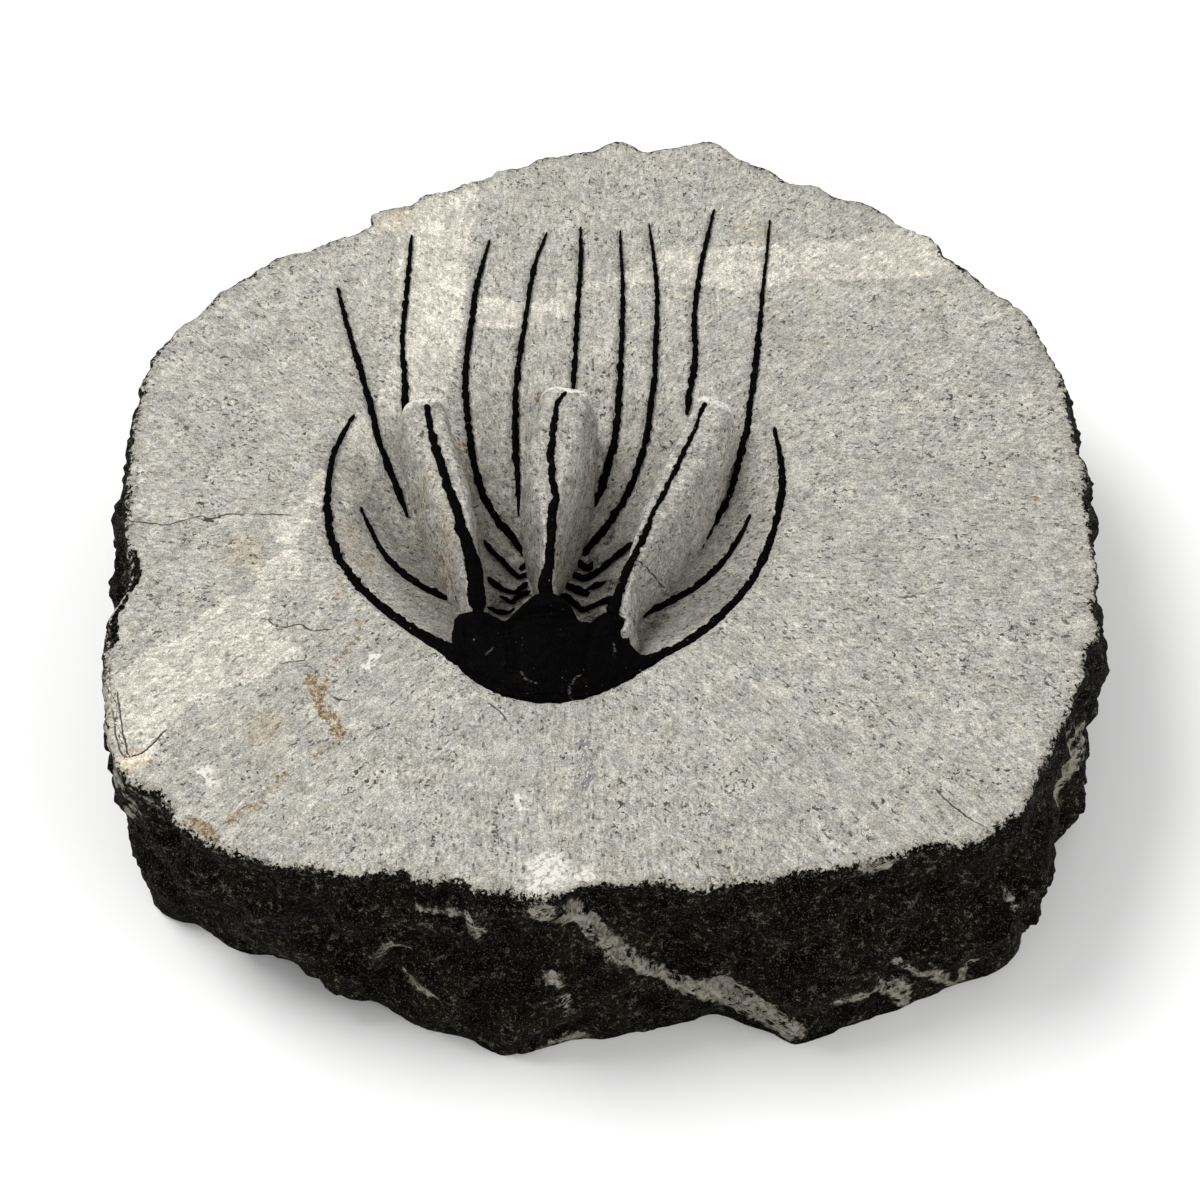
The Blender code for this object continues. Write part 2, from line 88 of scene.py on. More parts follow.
# Plan outlines (x, y), counter-clockwise from the right.
RIM = [
    (59.3, 2.0), (57.5, 17.5), (54.7, 28.1), (48.5, 35.5), (38.4, 46.9), (25.8, 53.2), (14.6, 60.8),
    (8.0, 59.6), (1.5, 60.8), (-9.9, 56.5), (-23.4, 50.1), (-29.6, 47.0), (-30.7, 44.3), (-43.9, 37.1),
    (-54.8, 24.4), (-57.5, 10.9), (-57.0, -3.0), (-56.2, -14.7), (-57.8, -22.9), (-57.0, -28.0),
    (-54.8, -40.2), (-48.9, -45.4), (-44.5, -50.5), (-36.9, -53.4), (-17.8, -56.4), (-7.9, -58.4),
    (1.0, -56.9), (15.5, -56.5), (32.2, -53.0), (44.7, -49.0), (51.8, -37.1), (57.0, -24.2),
    (58.7, -12.0),
]
FOOT = [
    (59.2, 4.0), (56.0, 19.0), (49.5, 34.0), (38.0, 45.0), (25.0, 53.5), (12.0, 58.5), (-1.5, 59.2),
    (-14.0, 56.0), (-26.0, 48.5), (-38.0, 42.0), (-51.0, 29.0), (-57.5, 13.0), (-60.6, -2.0),
    (-55.3, -16.2), (-57.1, -30.8), (-52.7, -40.0), (-41.7, -47.6), (-29.7, -51.5), (-19.8, -57.9),
    (-9.1, -60.4), (4.1, -58.5), (17.7, -57.8), (24.7, -60.4), (37.1, -53.2), (48.7, -48.7),
    (54.1, -36.1), (59.1, -18.2), (58.0, -5.8),
]

# --- bowl -------------------------------------------------------------------------
BOWL_DEPTH = 10.5
BOWL_CENTRE = (-5.5, -7.0)  # the deepest point
BOWL_RIM = [
    (-5.5, -28.5), (4.6, -27.0), (11.6, -23.2), (18.5, -14.6), (22.0, -6.0), (22.8, 2.0), (22.0, 10.0),
    (18.0, 18.0), (8.0, 23.0), (-5.5, 24.0), (-18.0, 22.0), (-27.5, 17.0), (-31.5, 9.0), (-33.5, 0.0),
    (-32.5, -9.0), (-27.0, -17.8), (-20.2, -24.0), (-13.0, -27.5),
]
BACK_EASE = 0.8             # extra softness of the bowl's lip towards +Y
FLUTE_DEPTH = 0.35          # hollow left between neighbouring spines
FLUTE_REACH = 2.2           # how far a spine's low ridge spreads
FLUTE_ONSET = 4.0           # depth below the flat top at which the flutes are full

# --- fins: crest route in plan, crest height, half widths left and right -----------
FIN_FOOT = 17.0             # fins are shaped down to here, below the bowl floor
FIN_FULLNESS = 6.5          # exponent of the loaf-shaped section
FIN_END = (2.0, 2.6)        # rounding of the near and the far end
END_SQUARENESS = 2.8        # how square the fins' ends are in plan
FINS = {
    "centre": dict(route=[(-6.4, -19.8), (-6.2, -13.0), (-6.1, -9.5), (-6.0, -6.0), (-5.7, 1.0),
                          (-4.3, 10.0)],
                   crest=[29.3, 32.7, 34.3, 35.4, 35.8, 35.0],
                   left=[0.9, 0.9, 1.5, 2.8, 4.2, 4.2],
                   right=[0.9, 0.9, 1.1, 2.5, 4.6, 4.6]),
    "left": dict(route=[(-14.1, -21.0), (-15.3, -14.5), (-16.7, -9.0), (-18.3, -3.0), (-20.9, 8.5)],
                 crest=[29.3, 32.5, 34.8, 35.4, 34.8],
                 left=[1.2, 1.5, 2.7, 3.6, 4.6],
                 right=[1.1, 1.3, 2.6, 3.3, 3.0]),
    "right": dict(route=[(2.2, -21.2), (3.6, -14.5), (5.9, -8.5), (8.4, -2.0), (12.6, 8.8)],
                  crest=[29.3, 32.5, 34.8, 35.4, 34.8],
                  left=[0.9, 1.0, 1.3, 1.5, 1.7],
                  right=[1.2, 1.5, 3.7, 5.3, 5.2]),
}
BLEND = 0.8                 # fillet where the boss meets the bowl

# --- head -------------------------------------------------------------------------
HEAD_MIDDLE = (-5.9, -26.0)
HEAD_OUTLINE = [
    (-5.9, -32.3), (-2.6, -31.9), (0.4, -30.8), (3.2, -29.2), (4.9, -27.9), (5.4, -26.8), (4.6, -25.4),
    (3.7, -24.2), (3.3, -22.4), (3.1, -20.9), (2.3, -19.9), (0.9, -19.7), (-0.1, -20.5), (-1.6, -21.1),
    (-2.7, -20.5), (-3.5, -19.4), (-4.6, -18.5), (-6.1, -18.1), (-7.7, -18.4), (-9.1, -19.2),
    (-10.3, -20.2), (-11.5, -20.7), (-12.5, -20.2), (-13.4, -19.6), (-14.9, -19.4), (-16.4, -19.8),
    (-17.0, -21.0), (-17.1, -23.0), (-17.0, -25.2), (-16.2, -27.3), (-14.9, -28.8), (-13.2, -30.1),
    (-10.9, -31.3), (-8.3, -32.1),
]
HEAD_EDGE = 29.5            # height of the shield's margin
HEAD_UNDER = 28.3           # height of its underside
HEAD_DOME = 1.2
# Swellings of the shield: x, y, half width, half length, rise.
GLABELLA = (-5.9, -25.2, 4.2, 4.4, 1.7)
EYES = ((-14.3, -21.4, 1.7, 1.8, 1.2), (1.2, -21.4, 1.4, 1.7, 1.1))
OCCIPITAL = (-6.1, 3.6, 2.2)                # x, half width and rise of the raised rear margin
SHIELD_SCUFFS = [
    [(-9.0, -29.0), (-8.6, -29.7), (-8.0, -30.1), (-7.3, -30.4)],
    [(-3.4, -30.7), (-2.9, -29.8), (-2.3, -29.3)],
    [(-3.5, -30.8), (-3.2, -32.0)],
    [(-13.1, -26.1), (-12.5, -25.5), (-12.3, -25.2)],
    [(1.6, -24.5), (1.7, -25.4), (1.6, -26.1)],
]
BOSS = (-5.9, -26.5, 12.2, 7.0)             # rock left standing under the head
BOSS_TOP = 29.2
BOSS_FULLNESS = 5
SPUR = (3.2, -21.9, 1.15, 2.7, 31.3, 0.28)  # rock over the head's corner: x, y, half sizes, top, lean
CLEFT = [(4.6, -21.2), (4.1, -23.2), (3.6, -25.2)]      # narrow slit between that rock and the bowl's wall
CLEFT_SIZE = (1.0, 0.3)                     # depth and half width

# --- spines: routes (x, y, half width) --------------------------------------------------
PLEURAL = {
    "pleural_spine_left_1": [(-17.2, -11.9, 0.20), (-20.0, -11.2, 0.34), (-23.4, -9.6, 0.38),
        (-26.2, -6.6, 0.30), (-28.3, -2.6, 0.22), (-29.0, -1.0, 0.14)],
    "pleural_spine_left_2": [(-23.4, -0.4, 0.16), (-24.6, 2.3, 0.36), (-27.1, 8.4, 0.40),
        (-28.6, 14.0, 0.38), (-30.0, 19.4, 0.34), (-31.9, 26.2, 0.30), (-33.6, 33.3, 0.22)],
    "pleural_spine_left_3": [(-24.2, 12.8, 0.38), (-24.3, 17.2, 0.38), (-24.9, 23.7, 0.28),
        (-24.7, 32.4, 0.33), (-24.5, 42.9, 0.20)],
    "pleural_spine_left_4": [(-9.3, -2.9, 0.30), (-11.0, -0.2, 0.42), (-12.9, 2.0, 0.40),
        (-15.0, 6.0, 0.43), (-16.2, 11.5, 0.40), (-16.8, 18.0, 0.36), (-16.4, 25.0, 0.37),
        (-15.7, 34.2, 0.30), (-14.3, 41.9, 0.16)],
    "pleural_spine_left_5": [(-10.0, 2.2, 0.18), (-10.2, 7.0, 0.32), (-10.5, 11.2, 0.42),
        (-10.5, 17.0, 0.35), (-9.8, 23.7, 0.30), (-8.6, 36.0, 0.27), (-6.9, 43.3, 0.14)],
    "pleural_spine_right_1": [(4.6, -14.4, 0.26), (8.5, -12.8, 0.42), (12.0, -11.1, 0.36),
        (14.9, -8.2, 0.36), (16.8, -5.1, 0.27), (18.2, -2.2, 0.18)],
    "pleural_spine_right_2": [(10.9, -6.9, 0.24), (13.7, -2.0, 0.38), (15.8, 1.7, 0.36),
        (17.4, 7.5, 0.42), (18.4, 12.0, 0.34), (19.5, 20.3, 0.36), (20.8, 32.4, 0.26),
        (22.2, 45.7, 0.16)],
    "pleural_spine_right_3": [(10.8, 13.6, 0.34), (11.8, 20.5, 0.38), (12.0, 28.9, 0.32),
        (13.1, 37.8, 0.30), (15.0, 47.6, 0.17)],
    "pleural_spine_right_4": [(-2.8, -2.3, 0.24), (-1.9, -2.4, 0.36), (-0.4, -0.5, 0.44),
        (1.4, 1.7, 0.42), (4.0, 6.3, 0.40), (5.9, 12.2, 0.38), (7.0, 22.1, 0.32), (7.2, 34.2, 0.26),
        (6.4, 44.9, 0.13)],
    "pleural_spine_right_5": [(-0.8, 3.4, 0.26), (0.5, 6.7, 0.44), (2.0, 12.4, 0.40), (2.6, 20.8, 0.33),
        (2.9, 32.4, 0.27), (2.6, 43.6, 0.14)],
    "tail_spine": [(-3.5, 14.4, 0.32), (-3.3, 17.8, 0.30), (-3.0, 25.4, 0.31), (-2.5, 37.8, 0.29),
        (-2.5, 44.3, 0.14)],
}
# Each rib is one or two limbs on the floor of the bowl.
RIBS = {
    "thorax_rib_left_1": [[(-13.6, -11.9, 0.11), (-12.4, -12.2, 0.22), (-11.1, -12.3, 0.16),
        (-10.2, -11.4, 0.11)]],
    "thorax_rib_left_2": [[(-12.2, -9.6, 0.10), (-11.4, -9.9, 0.20), (-10.7, -10.2, 0.20),
        (-10.0, -9.3, 0.24), (-9.2, -8.6, 0.26), (-8.4, -8.3, 0.21)]],
    "thorax_rib_left_3": [[(-13.7, -6.7, 0.22), (-12.8, -7.5, 0.26), (-11.8, -8.2, 0.24),
        (-10.5, -8.6, 0.18), (-9.7, -7.8, 0.22), (-8.8, -6.9, 0.21)]],
    "thorax_rib_left_4": [[(-14.3, -1.3, 0.16), (-13.4, -2.5, 0.29), (-12.3, -3.5, 0.27),
        (-11.0, -5.0, 0.25), (-10.0, -6.0, 0.21), (-9.5, -5.9, 0.22), (-8.9, -5.4, 0.21)],
        [(-9.9, -4.9, 0.14), (-9.3, -4.4, 0.24), (-8.8, -4.0, 0.18)]],
    "thorax_rib_right_1": [[(-5.4, -8.7, 0.18), (-4.1, -9.1, 0.29), (-3.0, -10.3, 0.34),
        (-2.2, -11.3, 0.27), (-1.2, -11.0, 0.22), (0.0, -10.4, 0.24), (1.8, -9.9, 0.24)]],
    "thorax_rib_right_2": [[(-4.6, -6.9, 0.18), (-3.3, -7.7, 0.32), (-1.9, -8.5, 0.32),
        (-1.2, -8.7, 0.18)], [(-1.7, -8.1, 0.11), (-0.4, -7.5, 0.22), (0.8, -7.1, 0.11)]],
    "thorax_rib_right_3": [[(-3.7, -5.2, 0.24), (-2.7, -5.8, 0.35), (-1.8, -6.2, 0.34), (0.0, -5.1, 0.29),
        (2.0, -3.3, 0.30), (4.0, -1.7, 0.24)]],
    "thorax_rib_right_4": [[(-3.4, -3.4, 0.22), (-2.5, -4.0, 0.34), (-1.4, -4.6, 0.34),
        (-0.9, -3.9, 0.16)]],
}
GENAL = {
    "genal_spine_left": [(-14.4, -26.7, 1.75), (-16.2, -25.7, 1.50), (-17.8, -24.5, 1.12),
        (-20.0, -22.7, 0.76), (-23.2, -20.2, 0.58), (-26.6, -17.1, 0.56), (-29.7, -13.2, 0.49),
        (-31.9, -8.3, 0.47), (-32.8, -3.0, 0.44), (-32.8, 1.5, 0.33), (-32.3, 5.8, 0.30),
        (-30.3, 11.5, 0.16)],
    "genal_spine_right": [(3.2, -27.3, 1.40), (4.9, -26.7, 1.08), (6.3, -25.8, 0.78), (8.2, -24.5, 0.57),
        (9.7, -23.5, 0.52), (11.4, -22.3, 0.55), (14.8, -18.8, 0.51), (18.2, -13.6, 0.47),
        (20.5, -7.4, 0.42), (21.9, -0.8, 0.44), (22.0, 4.2, 0.34), (21.4, 9.5, 0.18)],
}
CREST_SPINES = {
    "occipital_spine": ("centre", [(-6.2, -18.4, 1.05), (-6.3, -16.6, 0.80), (-6.0, -14.0, 0.56),
        (-5.8, -11.9, 0.54), (-5.7, -9.2, 0.50), (-5.3, -6.5, 0.46), (-5.6, -4.0, 0.40),
        (-5.8, -0.9, 0.44), (-5.7, 2.4, 0.40), (-5.4, 5.9, 0.35), (-5.0, 8.8, 0.28), (-4.1, 10.4, 0.20)]),
    "eye_spine_left": ("left", [(-14.1, -20.2, 1.15), (-14.2, -18.7, 0.98), (-14.5, -16.5, 0.96),
        (-14.9, -14.4, 0.90), (-15.5, -12.5, 0.74), (-16.1, -10.8, 0.62), (-16.6, -9.0, 0.58),
        (-17.8, -5.4, 0.50), (-18.5, -3.1, 0.52), (-19.4, 0.0, 0.52), (-20.2, 3.6, 0.44),
        (-21.1, 8.5, 0.32)]),
    "eye_spine_right": ("right", [(1.2, -20.8, 0.95), (1.7, -18.7, 0.70), (2.6, -16.6, 0.50),
        (3.5, -14.5, 0.48), (4.5, -12.6, 0.42), (5.5, -10.7, 0.36), (6.3, -8.7, 0.31), (8.0, -4.8, 0.32),
        (9.0, -2.4, 0.29), (10.1, 0.7, 0.30), (11.4, 4.1, 0.25), (12.7, 8.8, 0.30)]),
}
SPINE_CROWN = 0.55          # height of a spine's rounded top as a share of its half width
SPINE_ROOT = 0.6            # how deep a spine's sides run into the rock
SQUARENESS = 0.55           # 1 is a round cross section, less is boxier
RUFFLES = ((1.0, 1.3), (0.8, 0.7), (0.35, 0.42))        # a spine's ragged edges: share and wavelength
TIP = 0.04                  # least half width, at a spine's ends
GROOVE = (0.34, 0.42)       # depth and reach of the groove cleaned beside a spine
BESIDE_SPINE, BESIDE_GENAL = 0.35, 0.6      # how far from its route the groove starts

# --- markings on the stone: plan polylines, or (angle in degrees, height) on the side --
CALCITE = [  # plan outlines of the pale calcite
    [(-56.0, -28.0), (-51.9, -24.5), (-47.6, -21.6), (-45.0, -18.2), (-41.0, -16.0), (-39.9, -13.0),
     (-38.1, -10.7), (-35.6, -9.7), (-35.1, -14.8), (-36.9, -16.3), (-38.8, -17.5), (-38.9, -19.7),
     (-36.9, -22.2), (-34.7, -24.1), (-34.6, -25.5), (-36.8, -27.0), (-39.1, -28.8), (-42.8, -30.5),
     (-46.1, -32.2), (-48.1, -34.5), (-49.6, -36.8), (-52.0, -41.8), (-60.0, -44.0), (-64.0, -36.0),
     (-62.0, -30.0)],
    [(-39.7, -5.4), (-37.8, -3.5), (-35.3, -3.0), (-34.5, -4.6), (-35.7, -8.4), (-38.2, -9.2)],
    [(-35.5, -2.2), (-34.8, 1.2), (-33.4, 2.8), (-33.2, -2.2), (-34.2, -3.5)],
    [(-32.1, 9.0), (-30.5, 10.9), (-28.1, 11.4), (-27.2, 7.3), (-27.9, 2.5), (-30.1, -2.2), (-31.9, 0.9)],
    [(-29.7, 44.0), (-26.6, 42.5), (-25.9, 31.0), (-25.8, 23.2), (-26.4, 17.3), (-27.7, 13.9),
     (-26.5, 11.9), (-24.5, 13.2), (-21.0, 13.9), (-18.7, 17.3), (-17.8, 22.3), (-17.2, 31.0),
     (-16.9, 41.8), (-16.5, 56.0), (-25.0, 55.0)],
    [(7.1, 40.0), (11.7, 40.5), (18.8, 40.7), (25.9, 41.3), (32.5, 42.2), (36.5, 44.0), (41.1, 44.4),
     (45.1, 41.8), (47.0, 37.8), (43.7, 36.0), (38.5, 35.1), (32.1, 34.6), (25.7, 34.6), (20.5, 33.2),
     (17.9, 32.4), (12.8, 33.5), (7.7, 34.0), (3.2, 33.3), (-1.9, 32.4), (-2.3, 33.9), (1.3, 34.9),
     (5.2, 37.8)],
    [(-15.9, 30.2), (-12.7, 31.0), (-8.9, 30.7), (-7.0, 29.3), (-7.6, 26.7), (-12.0, 25.8),
     (-15.4, 26.5)],
    [(-6.6, 31.0), (-3.2, 32.1), (-2.3, 30.2), (-3.8, 28.2), (-6.3, 28.2)],
]
SIDE_STREAKS = [  # pale rock on the side: angle in degrees, height, half width
    [(-97.0, 27.6, 0.56), (-95.5, 27.3, 0.98), (-93.8, 25.7, 0.98), (-92.0, 23.1, 0.84),
     (-90.0, 20.8, 0.84), (-87.9, 18.1, 0.84), (-85.6, 15.4, 0.7), (-84.0, 13.0, 0.7),
     (-81.7, 11.1, 0.84), (-79.0, 10.6, 1.5), (-76.6, 8.4, 2.2), (-74.6, 6.1, 2.5), (-72.4, 4.1, 2.4),
     (-69.8, 2.4, 1.8)],
    [(-111.5, 9.9, 0.56), (-109.9, 9.2, 0.98), (-108.2, 9.9, 0.84), (-106.8, 9.2, 0.42)],
    [(-104.4, 24.6, 0.56), (-103.2, 23.8, 0.84), (-103.2, 21.9, 0.42)],
    [(-115.1, 12.2, 0.14), (-113.6, 14.6, 0.35), (-112.1, 16.9, 0.7), (-111.2, 16.1, 0.56)],
    [(-109.4, 24.2, 0.21), (-107.8, 24.6, 0.28), (-106.2, 24.2, 0.21), (-104.9, 24.2, 0.28)],
    [(-96.1, 16.1, 0.28), (-95.0, 15.7, 0.7), (-94.2, 13.0, 0.21)],
    [(-94.1, 10.7, 0.56), (-93.6, 9.2, 0.42)],
    [(-96.4, 0.3, 0.42), (-94.4, 0.7, 0.49), (-93.1, 0.7, 0.84), (-91.2, 0.3, 0.42)],
    [(-65.0, 7.2, 0.42), (-63.6, 7.2, 0.7), (-61.6, 6.8, 0.84), (-59.4, 4.9, 0.7), (-56.6, 0.3, 0.42)],
    [(-57.5, 4.5, 0.56), (-56.5, 2.6, 0.56)],
    [(-58.6, 10.3, 0.21), (-57.4, 8.7, 0.28), (-56.0, 6.4, 0.35), (-54.5, 5.7, 0.7), (-52.3, 2.2, 0.35),
     (-51.0, 0.3, 0.28)],
    [(-50.5, 1.1, 0.42), (-50.0, 3.4, 0.42), (-49.1, 4.1, 0.28)],
    [(-43.6, 1.4, 0.42), (-41.8, 0.3, 0.56), (-40.0, 0.3, 0.42)],
    [(-31.6, 12.3, 1.3), (-30.2, 14.8, 1.7), (-28.6, 16.8, 1.5), (-26.6, 18.6, 0.9)],
    [(-31.0, 23.7, 0.56), (-30.1, 24.1, 0.56)],
    [(-61.6, 28.4, 0.7), (-60.1, 28.3, 0.84), (-59.1, 28.3, 0.56)],
    [(-46.6, 16.0, 0.14), (-45.5, 12.2, 0.14)],
    [(-140.1, 28.2, 0.21), (-139.0, 27.5, 0.21), (-138.1, 25.2, 0.21)],
    [(-142.0, 27.0, 0.17), (-141.0, 24.8, 0.17), (-140.5, 22.9, 0.17)],
    [(-142.5, 20.2, 0.56), (-141.5, 22.5, 0.56)],
    [(-153.0, 27.6, 1.8), (-147.5, 27.0, 2.4), (-143.5, 27.2, 1.6)],
    [(59.0, 10.0, 1.0), (63.0, 8.5, 1.6), (67.0, 7.0, 0.6)],
    [(115.0, 21.0, 0.7), (121.0, 19.5, 1.1)],
    [(94.0, 5.0, 1.0), (98.0, 6.0, 1.4), (102.0, 5.0, 0.6)],
    [(148.0, 13.5, 1.3), (154.0, 11.0, 1.0)],
    [(25.0, 18.5, 0.8), (30.0, 16.5, 1.2), (34.0, 15.5, 0.5)],
    [(-176.0, 12.0, 0.8), (-172.0, 10.0, 1.3)],
    [(2.0, 8.0, 0.7), (7.0, 7.0, 1.2)],
]
RUST_LINES = [  # route, half width, strength
    ([(-54.0, -40.5), (-52.4, -40.1), (-51.6, -39.6)], 0.9, 1.0),
    ([(-33.0, -28.8), (-32.4, -30.5), (-31.8, -32.2), (-31.1, -34.0)], 0.60, 0.9),
    ([(-30.9, -33.6), (-30.0, -35.3), (-29.6, -36.5)], 0.60, 1.0),
    ([(-29.6, -36.5), (-30.4, -38.2), (-31.6, -39.1), (-32.2, -40.0)], 0.28, 0.6),
    ([(-28.3, -20.2), (-27.8, -22.2), (-28.6, -24.1), (-29.9, -26.3), (-31.0, -28.0), (-31.0, -30.5)],
     0.26, 0.6),
    ([(-34.9, -41.3), (-35.7, -42.7), (-36.7, -44.3), (-37.5, -45.4)], 0.26, 0.8),
    ([(-37.5, -45.4), (-38.7, -46.4), (-39.8, -47.2), (-41.0, -48.3)], 0.35, 0.7),
    ([(-45.2, -48.3), (-43.5, -49.3), (-42.6, -50.3)], 0.60, 1.0),
    ([(-30.8, -14.2), (-30.3, -16.0), (-30.9, -17.5)], 0.20, 0.5),
]
RUST_SPOTS = [
    (52.4, -1.8, 0.35), (44.7, 40.3, 0.3), (-17.1, 10.2, 0.7), (-7.5, 16.2, 0.6), (-8.6, -19.0, 0.3),
]
TAN_SPOTS = [
    (-42.7, -9.7, 2.6), (-41.4, -11.5, 2.0), (-28.9, -9.0, 2.2), (-30.6, -5.0, 1.4), (-19.0, -11.0, 2.4),
    (-20.8, -3.0, 1.8), (-27.0, 46.0, 2.5), (-16.5, 6.5, 1.5), (20.0, 43.5, 2.5), (-38.0, -36.0, 3.0),
]
CHALK_SPOTS = [
    (-44.3, -41.2, 1.0), (-43.2, -43.0, 0.8), (-26.0, -25.8, 0.7), (-26.6, -27.4, 0.9),
    (-8.9, -45.2, 0.8), (-8.5, -46.9, 0.7), (-5.7, -54.8, 2.6), (-1.5, -55.6, 1.4), (-7.0, -57.6, 1.6),
]
CHALK_LINES = [
    ([(-54.0, -40.5), (-52.4, -40.1)], 0.9, 1.0),
    ([(-52.8, -40.2), (-50.9, -39.1)], 0.6, 1.0),
    ([(-50.9, -39.1), (-49.0, -36.3)], 0.25, 1.0),
]
SLATE_LINES = [
    ([(-1.9, -34.5), (-1.8, -37.0)], 1.0, 0.45),
    ([(-1.8, -38.2), (-1.6, -40.6), (-1.9, -43.2)], 0.9, 1.0),
]
CRACKS = [
    [(-56.8, -5.2), (-53.8, -5.7), (-52.0, -6.0), (-50.2, -5.5), (-47.9, -4.7), (-46.4, -5.1),
     (-45.3, -4.6), (-43.1, -4.4), (-37.1, -4.7)],
    [(-47.6, -5.2), (-46.4, -5.5), (-45.2, -4.9)],
    [(-36.2, -26.7), (-35.2, -26.5), (-34.3, -26.3)],
    [(-31.0, -30.5), (-30.2, -31.7), (-29.0, -31.9)],
    [(-38.6, -20.6), (-36.9, -21.5), (-34.8, -21.2), (-33.6, -22.0), (-31.3, -21.9)],
    [(37.5, -44.3), (39.4, -46.5), (41.0, -47.8), (42.6, -49.0)],
    [(-12.5, -32.6), (-11.3, -33.6), (-10.5, -35.0)],
    [(-54.0, -39.6), (-52.2, -39.3), (-50.9, -38.4), (-49.4, -36.1)],
    [(-56.4, -27.0), (-55.9, -31.0), (-54.9, -35.5), (-53.8, -39.4)],
    [(-55.2, -30.5), (-54.2, -35.0), (-53.1, -38.8)],
]
FIN_RUST = [(-19.6, -8.4, 26.5, 0.8), (-18.9, -9.6, 27.6, 0.6), (-17.6, -12.6, 25.5, 0.5)]
FIN_SOOT = 0.35             # residue on the fins, which gives dark pits only; the stone's spots run 0 to 1 and carry painted shade above 0.55
FIN_CRACK = ((4.0, -14.2, 33.2), (7.6, -11.6, 24.6))        # a short crack down the right fin's near end
# Spots on the bowl's floor beside the fins and ribs: dark pits, and a broad darkening that is painted shade.
SOOT_AND_SHADE_SPOTS = [
    (-11.7, 1.8, 1.6), (-10.5, -1.3, 1.6), (-11.0, -5.5, 1.6), (-1.2, -3.4, 1.6), (0.4, -0.6, 1.5),
    (0.0, 6.8, 1.2), (-4.9, -9.1, 1.5), (5.4, -14.2, 1.3), (7.2, -14.8, 1.3), (8.4, -13.3, 1.2),
    (6.5, -16.6, 1.3), (-0.5, -13.5, 2.0), (1.5, -7.5, 1.6), (-12.0, -10.5, 1.8), (-13.5, -14.5, 1.8),
]
PAINTED_SHADE_LINES = [  # painted shade on the bowl's slopes inside the genal spines: route, half width, strength
    ([(-30.0, 4.0), (-28.6, 0.0), (-25.5, -5.0), (-22.5, -10.0), (-19.5, -14.5), (-16.5, -18.5)],
     2.6, 0.75),
    ([(-22.0, -5.0), (-20.0, -10.0), (-17.5, -14.5)], 2.0, 1.0),
    ([(4.5, -18.8), (8.0, -18.0), (12.0, -16.2), (14.5, -13.5)], 2.3, 1.0),
    ([(13.0, -15.0), (16.5, -10.5), (17.5, -5.0), (18.0, 1.0)], 2.2, 0.5),
]
# Stains, and the marks that carry painted shade.
STAINS_AND_SHADE = {"rust": (RUST_LINES, RUST_SPOTS), "chalk_and_highlight": (CHALK_LINES, CHALK_SPOTS), "slate": (SLATE_LINES, ()),
          "tan": ((), TAN_SPOTS), "soot_and_shade": ((), SOOT_AND_SHADE_SPOTS), "shade": (PAINTED_SHADE_LINES, ())}
LEDGE_DEPTH = 1.7           # of the hollow above the slanting vein in front
RIM_BREAK = (-164.0, 8.0, 1.0, 0.7)         # angle, half angle, width and depth of the broken rim on the left

# --- uneven surfaces: height, wavelength and seed of each set of waves ----------------------
RIM_NOTCHES = ((0.16, 2.3, 51), (0.10, 0.9, 52))
BREAK_ENDS, BREAK_MARGIN = (1.2, 4.0, 53), (0.35, 1.8, 54)           # of the broken rim on the left
SIDE_GRAIN, SIDE_SAG = (0.18, 1.1, 64), (0.12, 2.0, 65)
FACETS = ((0.8, 8.0, 61), (0.55, 3.4, 62), (0.30, 1.5, 63))         # height, size and seed
TOOL_DENTS = ((0.5, 9.0, 41), (0.35, 3.0, 42), (0.3, 1.3, 43))      # heights as shares of the tool marks
GROOVE_WANDER = ((0.07, 1.1, 31), (0.05, 0.6, 32))
SPUR_EDGE = (0.18, 1.4, 33)
FIN_DENTS = ((0.20, 3.4, 71), (0.12, 1.5, 72), (0.06, 0.8, 73))     # on a fin's walls
FIN_CREST_WAVES = ((0.10, 1.8, 74), (0.05, 0.8, 75))
SHIELD_GRAIN = ((0.05, 1.6, 81), (0.035, 0.7, 82), (0.02, 0.4, 83))
SHIELD_CHIPS = ((0.10, 1.6, 85), (0.05, 0.7, 86))                   # along its margin

# --- colours of the finishes, as linear red, green and blue --------------------------------
COOL_TINT, WARM_TINT, TAN_TINT = (0.975, 0.985, 1.0), (1.015, 1.0, 0.965), (1.0, 0.93, 0.83)
GREY_PATCH, BEIGE_PATCH = (0.33, 0.322, 0.29), (0.43, 0.415, 0.37)
PALE_GRAIN, PALE_STROKE = (0.62, 0.61, 0.57), (0.66, 0.65, 0.61)
DARK_GRAIN, DARK_STROKE = (0.07, 0.066, 0.058), (0.075, 0.072, 0.064)
RUST_BROWN, RUST_OCHRE, RUST_PIT = (0.13, 0.075, 0.03), (0.36, 0.26, 0.145), (0.055, 0.033, 0.015)
# CHALK and CREAM also paint the highlight on the fins' far rims.
CHALK, CREAM = (0.73, 0.705, 0.645), (0.95, 0.83, 0.64)
SLATE, SLATE_FLECK = (0.12, 0.125, 0.135), (0.66, 0.66, 0.66)
SOOT, CRACK, RIM_CRUST = (0.075, 0.068, 0.055), (0.06, 0.052, 0.042), (0.20, 0.18, 0.14)
SIDE_BROWN, SIDE_GRIT, SIDE_PEPPER = (0.013, 0.0105, 0.005), (0.046, 0.043, 0.031), (0.12, 0.115, 0.09)
SIDE_GLINT, SCRATCH = (0.22, 0.21, 0.175), (0.17, 0.165, 0.145)
STREAK_DARK, STREAK_PALE, STREAK_EDGE = (0.15, 0.13, 0.09), (0.46, 0.44, 0.38), (0.075, 0.06, 0.04)
SHELL_BROWN, SHELL_SCUFF, SHELL_SPECK = (0.012, 0.007, 0.004), (0.085, 0.082, 0.075), (0.24, 0.23, 0.21)

